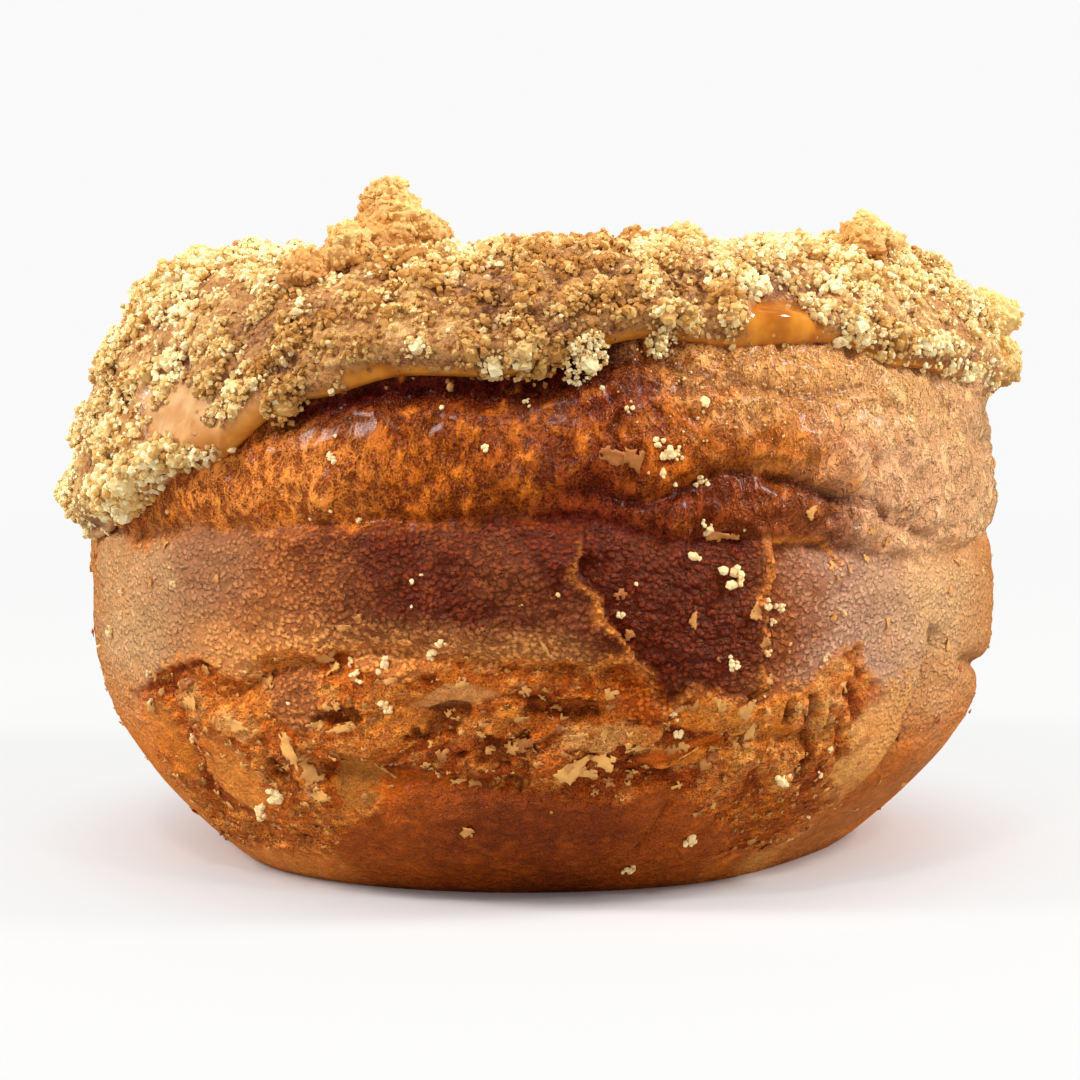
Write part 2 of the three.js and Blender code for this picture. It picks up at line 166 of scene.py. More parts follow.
icingEdge = [
    (-180, 41), (-152, 37.5), (-128, 40), (-100, 31.5), (-75, 30), (-59, 32.9), (-41, 38.6), (-27, 44.7),
    (-15, 46.4), (-4, 46), (13, 48.7), (24, 48.1), (38, 48.7), (51, 46.6), (70, 44.7), (96, 41.5), (124, 45),
    (150, 39.5), (180, 41),
]
upperFold = [(-180, 34), (-125, 31), (-60, 31.5), (-42, 33), (-15, 34.7), (3, 35), (18, 33), (60, 29.5),
             (120, 33), (180, 34)]
rightFold = [(4, 37.2), (12, 36.2), (22, 38.3), (42, 35.5), (48, 32.8), (60, 30.6)]
folds = [  # depth, width, closed, path
    (1.0, 1.7, True, upperFold),
    (1.1, 1.4, False, rightFold),
    (0.6, 1.2, False, [(13, 47.2), (22, 45.6), (32, 44.4), (45, 45.2)]),
    (1.5, 1.8, False, [(-41, 18.2), (-28, 21.6), (-19, 23.2), (0, 22.4), (8, 22), (14, 19.8)]),
    (1.1, 1.6, False, [(-32, 12.4), (-15, 11.5), (0, 11.2), (12, 11.8), (26, 15.6), (37, 14.8)]),
    (1.2, 1.5, False, [(-176, 22), (-146, 18.5), (-118, 21), (-102, 19)]),
    (1.0, 1.2, False, [(-165, 39), (-140, 42), (-112, 40)]),
    (1.3, 1.5, False, [(66, 19), (92, 16.5), (128, 20), (166, 23.5)]),
    (0.9, 1.2, False, [(84, 10), (112, 8.5), (140, 11.5)]),
]
clefts = [  # depth, width, path of (height, bearing)
    (1.8, 1.2, [(4, 46.5), (8, 48.8), (11.1, 50.7), (14.2, 52.1), (19.2, 54.5), (22.5, 55.5)]),
    (1.7, 1.5, [(3, -118), (12, -113), (25, -116)]),
    (1.8, 1.5, [(3, 152), (14, 147), (27, 150)]),
    (1.2, 1.4, [(5, -52), (13, -49), (19, -51)]),
]
crustEdges = [  # lift, reach, drop, path of (height, bearing)
    (1.2, 9, 0.4, [(19.1, 14), (21.7, 12.6), (23.4, 10.3), (27.7, 6.9), (30.2, 4.2), (32.7, 4.9)]),
    (0.7, 6, 2.0, [(2, 45.5), (4, 46.5), (8, 48.8), (11.1, 50.7), (14.2, 52.1), (19.2, 54.5), (22.5, 55.5)]),
    (0.75, 4, 0.3, [(19.8, 26.6), (22.4, 25.7), (25, 26.4), (27.6, 26), (30.1, 27), (32.9, 27.4)]),
    (0.8, 8, 0.3, [(15, -92), (22, -95), (27, -91), (31, -93)]),
    (0.8, 8, 0.3, [(17, 121), (22, 117), (28, 119), (33, 116)]),
    (0.7, 7, 0.3, [(14, 176), (20, 172), (26, 174), (30, 171)]),
]
swellings = [  # bearing, height, half width in degrees, half height, size
    (-12, 40.5, 40, 4.5, 0.7), (32, 41.5, 22, 4, 0.6), (-6, 17.2, 17, 4.6, -1.7), (-3, 6.6, 24, 4.6, 0.9),
    (-42, 14, 10, 6, 0.5), (24, 18, 9, 5, 0.8), (42, 12, 9, 8, 0.7), (66, 12, 12, 9, 0.3),
    (-85, 28, 20, 5, 0.3), (-86, 47.5, 42, 8, -1.7), (-78, 16.5, 26, 6, 0.7), (78, 17, 20, 6, 0.9),
    (86, 34, 25, 8, 0.2), (-128, 12, 14, 7, 0.8), (-150, 30, 22, 7, 0.7), (-172, 15, 12, 5, -1.3),
    (104, 24, 22, 6, 0.7), (128, 12, 12, 5, -1.2), (168, 9, 12, 6, 0.8), (150, 31, 25, 6, 0.6),
]
undercuts = [(8, 42, 15, 4.3), (60, 24, 12, 3.6), (-70, 13, 13, 1.3)]  # bearing, half width, up to, depth
tornPatches = [(-104, 15, 20, 6), (-166, 15, 22, 6), (116, 14, 26, 6)]  # round the back, in the same terms

# Lines across the front: where the dark crust is torn off, and where the smooth bottom lobe starts.
tornLine = [
    (-66, 15), (-56, 18), (-50, 20.5), (-44, 21.4), (-36, 20), (-32, 22.4), (-24, 23), (-18, 21.1), (-7, 22.1),
    (5, 22.6), (10.6, 22.9), (13.2, 21.6), (14.4, 18), (18.7, 20.1), (24, 19), (30.4, 19.6), (38.8, 22.6),
    (46, 18), (52, 14),
]
lobeLine = [
    (-30, 6), (-20, 9), (-15, 11.5), (-7.9, 10.9), (-1.2, 10.9), (6.1, 10.4), (11.8, 10.6), (15.9, 11.5),
    (22, 9), (30, 6),
]


def spot(bearing, height, at, level, halfTurn, halfRise):  # 1 at a place on the wall, and less round it
    return bell(turnBetween(at, bearing), halfTurn) * bell(height - level, halfRise)


def wallRelief(bearing, height):
    out = np.zeros_like(bearing)
    for depth, width, closed, path in folds:
        reach = 1 if closed else within(path, bearing, 5)
        aside = height - along(path, bearing)
        out -= depth * reach * (0.7 * bell(aside, width) + 0.45 * bell(aside, width * 0.33))
    for depth, width, path in clefts:
        aside = turnBetween(along(path, height), bearing) * perDegree
        out -= depth * within(path, height, 2.5) * (0.6 * bell(aside, width) + 0.4 * bell(aside, width * 0.35))
    for *place, size in swellings:
        out += size * spot(bearing, height, *place)
    return out


def sectionShape(angle):
    c, s = np.cos(angle), np.sin(angle)
    power = np.where(c > 0, np.where(s > 0, ring["outerTop"], ring["outerBottom"]),
                     np.where(s > 0, ring["innerTop"], ring["innerBottom"]))
    scale = (np.abs(c) ** power + np.abs(s) ** power) ** (-1 / power)
    half = np.where(c > 0, ring["outerHalf"], ring["innerHalf"])
    r = ring["radius"] + half * c * scale
    z = middle + halfHeight * s * scale
    nr = np.sign(c) * np.abs(c * scale) ** (power - 1) / half
    nz = np.sign(s) * np.abs(s * scale) ** (power - 1) / halfHeight
    size = np.hypot(nr, nz)
    return r, z, nr / size, nz / size


def ringPoint(bearing, angle, lift=0.0, extra=0.0):  # extra is finer relief on the wall
    turn = np.radians(bearing)
    r, z, nr, nz = sectionShape(angle)
    onWall = smooth(nr, 0.15, 0.7) * smooth(z, 0.6, 5)
    ovalSize, ovalAt = ring["oval"]
    lobeSize, lobeAt = ring["threeLobed"]
    outward = lift + onWall * (wallRelief(bearing, z) + extra) + np.maximum(nr, 0) * (
        ovalSize * np.cos(2 * turn - math.radians(ovalAt)) + lobeSize * np.cos(3 * turn - math.radians(lobeAt))
        + ring["fiveLobed"] * np.sin(5 * turn))
    r = r + outward * nr
    z = z + outward * nz
    leanSize, leanAt = ring["lean"]
    waveSize, waveAt = ring["waves"]
    z = z + smooth(z, 30, ring["crest"]) * (
        leanSize * np.cos(turn - math.radians(leanAt)) + waveSize * np.cos(4 * turn - math.radians(waveAt)))
    for at, halfTurn, upTo, depth in undercuts:
        cut = bell(turnBetween(at, bearing), halfTurn) * (1 - smooth(z, 0, upTo))
        r = r - depth * cut * smooth(np.cos(angle), 0, 0.5)
    return np.stack([r * np.sin(turn), -r * np.cos(turn), np.maximum(z, 0)], -1)


# Section angles by length round the plain section, so that rows and crumbs can be spread evenly.
angleTable = np.linspace(-0.6 * np.pi, 1.4 * np.pi, 4001)
tableR, tableZ, _, _ = sectionShape(angleTable)
lengthTable = np.concatenate([[0], np.cumsum(np.hypot(np.diff(tableR), np.diff(tableZ)))])


def lengthAt(angle):
    return np.interp(angle, angleTable, lengthTable)


def angleAtLength(length):
    return np.interp(length, lengthTable, angleTable)


outerHalfTable = (angleTable > -0.5 * np.pi) & (angleTable < 0.5 * np.pi)
innerUpperTable = (angleTable > 0.5 * np.pi) & (angleTable < np.pi)


def outerAngleAt(height):  # the section angle on the outside at which the plain wall has a height
    return np.interp(height, tableZ[outerHalfTable], angleTable[outerHalfTable])


def innerAngleAt(height):
    return np.interp(-height, -tableZ[innerUpperTable], angleTable[innerUpperTable])


class Value:  # a socket that can be used in sums
    def __init__(self, finish, socket):
        self.finish, self.socket = finish, socket

    def maths(self, operation, *others):
        return self.finish.node("ShaderNodeMath", {"operation": operation}, dict(enumerate((self,) + others)))

    def __add__(self, other): return self.maths("ADD", other)
    def __radd__(self, other): return self.maths("ADD", other)
    def __sub__(self, other): return self.maths("SUBTRACT", other)
    def __rsub__(self, other): return self.finish.number(other).maths("SUBTRACT", self)
    def __mul__(self, other): return self.maths("MULTIPLY", other)
    def __rmul__(self, other): return self.maths("MULTIPLY", other)

    def clipped(self):
        return self.finish.node("ShaderNodeClamp", {}, {0: self})

    def step(self, low, high, fromValue=0.0, toValue=1.0):
        return self.finish.node("ShaderNodeMapRange", {"interpolation_type": "SMOOTHSTEP"},
                                {0: self, 1: low, 2: high, 3: fromValue, 4: toValue})


class Finish:  # one material
    def __init__(self, name, tree=None, output="ShaderNodeOutputMaterial"):
        if tree is None:
            self.material = bpy.data.materials.new(name)
            self.material.use_nodes = True
            tree = self.material.node_tree
        self.tree = tree
        self.tree.nodes.clear()
        self.output = self.tree.nodes.new(output)

    def node(self, kind, settings, values, output=0):
        made = self.tree.nodes.new(kind)
        for name, setting in settings.items():
            setattr(made, name, setting)
        for place, value in values.items():
            socket = made.inputs[place]
            if isinstance(value, Value):
                self.tree.links.new(value.socket, socket)
            else:
                socket.default_value = value
        return Value(self, made.outputs[output])

    def number(self, value):
        return self.node("ShaderNodeMath", {"operation": "ADD"}, {0: value, 1: 0.0})

    def mask(self, name):
        return self.node("ShaderNodeAttribute", {"attribute_name": name}, {}, 2)

    def colourMask(self, name):
        return self.node("ShaderNodeAttribute", {"attribute_name": name}, {}, 0)

    def places(self, *scale):  # Object coordinates in millimetres, stretched
        coordinates = self.node("ShaderNodeTexCoord", {}, {}, 3)
        return self.node("ShaderNodeVectorMath", {"operation": "MULTIPLY"},
                         {0: coordinates, 1: tuple(1000 * s for s in (scale or (1, 1, 1)))})

    def noise(self, size, stretch=(1, 1, 1), detail=3, roughness=0.55):  # the size is in mm
        return self.node("ShaderNodeTexNoise", {}, {"Vector": self.places(*stretch), "Scale": 1 / size,
                                                    "Detail": detail, "Roughness": roughness})

    def cells(self, size, stretch=(1, 1, 1)):
        return self.node("ShaderNodeTexVoronoi", {}, {"Vector": self.places(*stretch), "Scale": 1 / size})

    def mix(self, factor, first, second, blend="MIX"):
        return self.node("ShaderNodeMix", {"data_type": "RGBA", "blend_type": blend},
                         {0: factor, 6: colourValue(first), 7: colourValue(second)}, 2)

    def bump(self, height, strength, distance, below=None):
        values = {"Height": height, "Strength": strength, "Distance": distance * mm}
        if below is not None:
            values["Normal"] = below
        return self.node("ShaderNodeBump", {}, values)

    def surface(self, **values):
        sockets = {name.replace("_", " "): value for name, value in values.items()}
        shader = self.node("ShaderNodeBsdfPrincipled", {}, sockets)
        self.tree.links.new(shader.socket, self.output.inputs[0])
        return self.material


def colourValue(colour):  # a colour as seen on a screen, or a link
    if isinstance(colour, Value):
        return colour
    shares = [c / 255 for c in colour]
    return (*[c / 12.92 if c <= 0.04045 else ((c + 0.055) / 1.055) ** 2.4 for c in shares], 1.0)


# The crust: rows and columns of its mesh, and how deep its relief is, in mm.
crust = {
    "columns": 446, "frontBias": 0.42, "rows": 222, "wallShare": 0.8, "icingShare": 0.08, "holeShare": 0.07,
    "icingOverlap": 1.5,
    "light": 1.5, "veil": 0.009,  # how much paler it is than it looks in soft light, less its gloss
    "wrinkleDepth": 0.62, "pebbleDepth": 0.26, "shredDepth": 1.8, "shredFloor": -1.15, "lobeDepth": 0.32,
    "grooveDepth": 0.9, "peelDepth": 0.5, "plateSink": 0.55, "goldenLift": 0.35, "hollowDepth": 0.4,
    "footRightDepth": 0.28, "footLeftDepth": 0.75, "lipLift": 0.25,
}
crustTones = {
    "tan": (200, 154, 106), "tanDeep": (190, 124, 68), "gold": (242, 134, 40), "goldDeep": (194, 110, 38),
    "upper": (190, 112, 50), "upperMid": (152, 76, 22), "upperDark": (118, 50, 16), "upperDeep": (78, 28, 8),
    "upperRight": (222, 165, 118), "farRight": (236, 178, 126), "redBrown": (112, 46, 8),
    "leather": (96, 38, 5), "russet": (156, 106, 72), "russetDark": (156, 90, 48), "softBrown": (240, 160, 88),
    "greyBrown": (172, 130, 104), "greyDeep": (142, 78, 40), "orange": (218, 130, 54),
    "orangeDeep": (160, 76, 18), "plate": (170, 106, 46), "torn": (188, 88, 16), "tornDeep": (110, 40, 8),
    "tornPale": (255, 170, 82), "golden": (255, 176, 96), "smoothRight": (255, 176, 90),
    "backLobe": (188, 102, 38), "lobe": (116, 51, 14), "lobeWarm": (152, 70, 14), "footLeft": (166, 80, 18),
    "footRight": (180, 92, 34), "rim": (212, 128, 54), "crease": (80, 26, 9), "cavity": (84, 24, 4),
    "dusted": (232, 172, 102),
}
toneStops = {  # the crust's tone round the ring, by bearing, in each band
    "upper": [
        (-180, "upper"), (-120, "upperMid"), (-80, "tanDeep"), (-48, "upper"), (-27, "upper"),
        (-10, "upperMid"), (6, "upperDark"), (17, "upperMid"), (29, "upper"), (44, "upperRight"),
        (62, "farRight"), (86, "tan"), (130, "upper"), (180, "upper")],
    "middle": [
        (-180, "russet"), (-130, "russetDark"), (-84, "tanDeep"), (-60, "tan"), (-42, "russet"),
        (-28, "russetDark"), (-17, "leather"), (20, "leather"), (27, "greyDeep"), (40, "greyBrown"),
        (56, "tan"), (90, "tanDeep"), (135, "russetDark"), (180, "russet")],
    "foot": [
        (-180, "goldDeep"), (-64, "gold"), (-46, "orange"), (-28, "footLeft"), (-12, "lobe"), (14, "lobe"),
        (23, "footRight"), (37, "smoothRight"), (58, "backLobe"), (84, "gold"), (180, "goldDeep")],
}

# Patches on the wall: bearing, height, half length and half height in mm, turn in degrees, and a tone.
tongues = [  # dark crust that hangs over the torn part
    (-29, 18.6, 2.6, 3.3, 25, "russetDark"), (12.3, 19.2, 2.3, 2.2, -20, "torn"),
]
plates = [  # smooth skins between the torn layers
    (-42, 10.8, 4.2, 4.6, 20, "orange"), (-22.6, 11.4, 2.6, 2.6, -30, "plate"),
    (-15.8, 9.6, 4.2, 3.0, 20, "torn"), (-9.5, 19.3, 4.5, 1.1, 10, "softBrown"),
    (46.5, 13.5, 4.6, 6.5, -25, "smoothRight"), (17.5, 14.4, 4.5, 1.3, 12, "torn"),
    (-54, 13, 3, 4, 15, "goldDeep"), (-100, 12, 5, 3.5, 10, "orange"), (-155, 12, 5, 3, -12, "plate"),
    (106, 11, 5, 3, 10, "orange"), (140, 13, 4, 3, 0, "smoothRight"),
]
goldenPatches = [
    (-45.7, 17.5, 2.3, 1.9, 10), (-37.8, 15.8, 2.6, 1.7, -15), (21, 18.2, 4.2, 1.6, 8), (29, 17.5, 4, 3, 80),
    (36, 19, 3.4, 2.4, 70), (8, 16.2, 5, 1.3, 5), (20, 14, 5, 0.7, 12), (-30, 12.4, 1.6, 3.2, 15),
    (-118, 18, 4, 1.8, 0), (-172, 17, 4, 1.6, 10), (118, 17, 4, 2, -10), (98, 16, 3, 1.6, 10),
]
hollows = [
    (-23.5, 17.2, 2.0, 0.8, 8), (-4.6, 14.3, 4.2, 1.6, 8), (-12, 16.6, 4, 1.2, 20), (2, 18.6, 3.5, 0.9, 0),
    (-34, 12.6, 0.9, 1.6, 20), (33.6, 17.8, 0.35, 1.3, 5), (33.8, 14.7, 0.35, 1.1, 0), (34.6, 12, 0.7, 1, 0),
    (36.5, 17, 0.3, 1.1, 0), (39.1, 18.8, 0.5, 0.8, 10), (25.5, 19.9, 0.9, 0.6, 30), (30, 18.2, 0.4, 1.3, 5),
    (-110, 16, 3, 1.2, 10), (-160, 15, 3, 1.3, -10), (110, 14, 3, 1.2, -8), (130, 16, 2, 1, 15),
]
peelEdge = [(27.5, 32.4), (34.6, 32.2), (38, 30)]  # the level edge to the right of the second crack
creases = [  # beside the bottom lobe: depth, path of (height, bearing)
    (0.8, [(3.2, 12.3), (5.9, 15.1), (8.2, 16.2), (10.1, 17)]), (0.6, [(3.9, 21.3), (5.6, 22.3), (7.7, 25.1)]),
    (0.4, [(3, 17.5), (5.5, 19), (7.5, 20)]),
]


def spunRing(columns, rows, sectionRadius=10):  # a plain ring of even facets, to be shaped afterwards
    bm = bmesh.new()
    bmesh.ops.create_grid(bm, x_segments=columns, y_segments=rows, size=math.pi)
    for v in bm.verts:
        out = ring["radius"] + sectionRadius * math.cos(v.co.y)
        v.co = (out * math.sin(v.co.x), -out * math.cos(v.co.x), sectionRadius * math.sin(v.co.y))
    bmesh.ops.remove_doubles(bm, verts=bm.verts, dist=1e-4)
    bmesh.ops.recalc_face_normals(bm, faces=bm.faces)
    return bm


def ringPlaces(bm, frontBias):  # each point's bearing, and its share of the way round the section
    co = np.array([v.co for v in bm.verts])
    even = np.arctan2(co[:, 0], -co[:, 1])
    bearing = np.degrees(even - frontBias * np.sin(even))
    share = (np.arctan2(co[:, 2], np.hypot(co[:, 0], co[:, 1]) - ring["radius"]) / (2 * np.pi)) % 1
    return bearing, share


def patch(bearing, height, at, level, halfLength, halfRise, turn, ragged=0.0):
    aside = turnBetween(at, bearing) * perDegree
    above = height - level
    c, s = math.cos(math.radians(turn)), math.sin(math.radians(turn))
    far = np.hypot((aside * c + above * s) / halfLength, (above * c - aside * s) / halfRise)
    return 1 - smooth(far + ragged, 0.82, 1.08)


def patches(bearing, height, shapes, ragged):  # the strongest of several patches
    return np.max([patch(bearing, height, *shape[:5], ragged) for shape in shapes], axis=0)


def stepped(value, steps, sharp=0.16):  # a slope broken into flat shreds, and where their edges are
    scaled = value * steps
    part = scaled - np.floor(scaled)
    return (np.floor(scaled) + smooth(part, 0.5 - sharp, 0.5 + sharp)) / steps, bell(part - 0.5, sharp)


def crustZones(bearing, height, place):  # which kind of crust lies where, each from 0 to 1
    ragged = roughNoise(place, 1.9, 3, 3)
    fine = roughNoise(place, 0.8, 2, 9)
    upper = smooth(height - along(upperFold, bearing) + 1.3 * ragged + softNoise(place, 7, 64), -1.1, 1.1)
    edge = along(icingEdge, bearing)
    upper = upper * (1 - smooth(height, edge + 0.6, edge + 2))
    under = along(tornLine, bearing) - height + 1.1 * ragged + 0.4 * fine
    torn = smooth(under, -0.15, 0.3) * between(bearing, -58, 45, 5)
    lobe = within(lobeLine, bearing, 3) * smooth(along(lobeLine, bearing) - height + 0.7 * ragged, -0.2, 0.5)
    foot = smooth(3.2 - height + 0.8 * ragged, -0.5, 0.5)
    behind = sum(spot(bearing, height, *torn) for torn in tornPatches)
    torn = np.maximum(torn * (1 - lobe) * (1 - foot), smooth(behind + 0.3 * ragged, 0.42, 0.52))
    torn = torn * (1 - patches(bearing, height, tongues, 0.8 * ragged + 0.3 * fine))
    return {
        "ragged": ragged, "fine": fine, "upper": upper, "under": under, "torn": torn, "lobe": lobe,
        "plate": patches(bearing, height, plates, 0.35 * ragged + 0.2 * fine),
        "golden": patches(bearing, height, goldenPatches, 0.5 * ragged + 0.3 * fine),
        "hollow": patches(bearing, height, hollows, 0.9 * ragged + 0.5 * fine),
        "footLeft": bell(turnBetween(-42, bearing), 24) * smooth(8 - height + ragged, -0.5, 2),
        "footRight": between(bearing, 17, 40, 4) * smooth(10.5 - height + ragged, -0.5, 1.5) * (1 - lobe),
        "middle": (1 - upper) * (1 - torn) * (1 - lobe) * smooth(height, 10, 14),
    }


def crustRelief(bearing, height, place):  # how far the crust stands off the plain form, and what lies where
    plan = crust
    zone = crustZones(bearing, height, place)
    ragged, fine, torn = zone["ragged"], zone["fine"], zone["torn"]
    upper, middle = zone["upper"], zone["middle"]
    bent = place + 0.9 * np.stack([softNoise(place, 2.3, seed) for seed in (17, 18, 19)], -1)

    # The upper band is wrinkled, the middle one pebbled like leather with sharp valleys.
    wrinkle = 0.5 + 0.5 * roughNoise(bent * (1, 1, 0.6), 1.9, 3, 21)
    crinkle = 1 - 2 * np.abs(softNoise(bent * (1, 1, 0.55), 1.25, 20))
    out = upper * plan["wrinkleDepth"] * (1.8 * (wrinkle - 0.5) + 0.7 * softNoise(bent, 3.6, 23)
                                          + (0.3 + 0.6 * between(bearing, 20, 110, 12)) * crinkle)
    groove = bell(height - along(icingEdge, bearing) + 0.8, 1.7)
    out -= plan["grooveDepth"] * groove * between(bearing, -34, 14, 6)
    pebble = 0.5 + 0.5 * roughNoise(bent * (1, 1, 1.3), 1.2, 3, 24)
    leathery = np.minimum(3 * np.abs(softNoise(bent * (1, 1, 1.2), 1.2, 29)), 1)
    leathery = 0.7 + (leathery - 0.7) * (0.4 + 0.6 * between(bearing, -40, 34, 12))
    out += middle * plan["pebbleDepth"] * (1.4 * (pebble - 0.5) + 0.9 * (leathery - 0.7)
                                           + 0.9 * softNoise(bent * (1, 1, 1.7), 2.8, 25))

    # The crust lifts towards a crack and drops past it. Its rim is thin and pale, and just past the crack lies
    # a painted shadow.
    rim, beside = np.zeros_like(bearing), np.zeros_like(bearing)
    for lift, reach, drop, path in crustEdges:
        here = within(path, height, 1.2)
        aside = turnBetween(along(path, height), bearing) * perDegree + 0.35 * fine + 0.25 * ragged
        raised = np.where(aside < 0, lift * np.exp(np.minimum(aside, 0) / reach),
                          -drop * np.exp(-np.maximum(aside, 0) / 3))
        out += here * np.where(np.abs(aside) < 4 * reach, raised, 0)
        patchy = 0.5 + 0.5 * smooth(roughNoise(place, 1.5, 2, 26), -0.35, 0.25)
        wide = 0.55 + 0.6 * roughNoise(place, 1.3, 2, 28)
        past = smooth(aside, 0.05, 0.25)
        rim = np.maximum(rim, here * patchy * smooth(aside, -2.2 * wide, -0.5 * wide) * (1 - past))
        beside = np.maximum(beside, here * past * np.exp(-np.maximum(aside, 0) / 0.9))
    peel = within(peelEdge, bearing, 0.6)
    peelSide = height - along(peelEdge, bearing) + 0.25 * fine
    out -= plan["peelDepth"] * peel * (1 - smooth(peelSide, -0.15, 0.2)) * smooth(peelSide, -5, 0)
    rim = np.maximum(rim, peel * bell(peelSide - 0.15, 0.3))

    # Shreds lie level across the middle and stand up on the right, where the layers were pulled apart.
    s = np.radians(bearing) * wallRadius
    warp = 1.1 * softNoise(place, 2.6, 27)
    upright = np.clip(between(bearing, 22, 43, 4) * smooth(height, 8, 11)
                      + 0.5 * between(bearing, 98, 112, 3), 0, 1)
    level = np.stack([s * 0.4 + 0.15 * height + warp, height - 0.16 * s + warp, 0 * s], -1)
    steep = np.stack([s * 1.5 + 0.5 * height + 0.6 * warp, height * 0.28, 0 * s + 40], -1)
    lie = 0.5 + 0.5 * roughNoise(level, 3.4, 4, 31)
    stand = 0.5 + 0.5 * roughNoise(steep, 1.7, 3, 35)
    shreds, shredEdge = stepped(np.clip((1 - upright) * lie + upright * stand, 0, 1), 6)
    smoothHere = np.maximum(zone["plate"], 0.35 * zone["golden"])
    rough = torn * (1 - smoothHere)
    out += rough * (plan["shredFloor"] + plan["shredDepth"] * shreds + 0.2 * softNoise(place, 0.75, 44))
    out += torn * smoothHere * (-plan["plateSink"] + 0.3 * roughNoise(place, 3.2, 2, 45))
    out += torn * zone["golden"] * (plan["goldenLift"] + 0.3 * ridges(place, 1.0, 2, 46))
    out -= zone["hollow"] * plan["hollowDepth"] * (1 + torn)

    # The foot, and the lip of crust over the torn part.
    uneven = roughNoise(bent, 3.0, 3, 47) + 0.9 * roughNoise(bent, 1.0, 2, 50)
    out += zone["lobe"] * plan["lobeDepth"] * uneven
    out += zone["footRight"] * plan["footRightDepth"] * (ridges(place, 1.7, 3, 48) - 0.5)
    out += zone["footLeft"] * plan["footLeftDepth"] * roughNoise(bent, 2.4, 3, 49)
    for depth, path in creases:
        aside = turnBetween(along(path, height), bearing) * perDegree
        out -= depth * within(path, height, 0.8) * bell(aside, 0.45)
    lip = between(bearing, -50, 44, 4) * bell(-zone["under"] - 0.3, 0.42)
    out += plan["lipLift"] * lip
    other = (1 - upper) * (1 - middle) * (0.55 + 0.55 * roughNoise(bent, 0.9, 3, 51))
    zone.update(rim=np.clip(np.maximum(rim, 0.7 * lip), 0, 1), beside=beside, rough=rough, shreds=shreds,
                shredEdge=shredEdge * rough,
                wrinkle=upper * wrinkle + middle * (0.45 * pebble + 0.45 * leathery) + other)
    return out, zone


def toneColour(tone):
    colour = np.maximum(np.array(colourValue(crustTones[tone])[:3]) - crust["veil"], 0.0015) * crust["light"]
    return colour / max(1, colour.max())


def toneRound(bearing, band):
    stops = [(at, toneColour(tone)) for at, tone in toneStops[band]]
    return np.stack([along([(at, tone[i]) for at, tone in stops], bearing) for i in range(3)], -1)


def layOver(colour, layers):  # each layer has a mask, a tone's name or its own colours, and a strength
    for mask, tone, amount in layers:
        mask = np.clip(mask * amount, 0, 1)[:, None]
        colour = colour * (1 - mask) + (toneColour(tone) if isinstance(tone, str) else tone) * mask
    return colour


def creaseShade(bearing, height, zone):  # how dark the bottoms of the folds and clefts are
    crease = np.zeros_like(bearing)
    strong = 0.25 + 0.75 * between(bearing, -10, 46, 12)
    for depth, width, closed, path in folds[:3] + folds[5:]:  # the folds that the torn part doesn't cover
        reach = 1 if closed else within(path, bearing, 5)
        aside = height - along(path, bearing) - 0.5 * zone["ragged"]
        crease = np.maximum(crease, depth * reach * strong * bell(aside, width * 0.38))
    for depth, width, path in clefts:
        aside = turnBetween(along(path, height), bearing) * perDegree
        shade = 0.9 * bell(aside, width * 0.35) + 0.5 * smooth(aside, -0.2, 0.4) * np.exp(-np.abs(aside) / 1.8)
        crease = np.maximum(crease, 0.5 * depth * within(path, height, 2) * shade)
    return np.clip(crease * (1 - 0.9 * zone["torn"]), 0, 1)


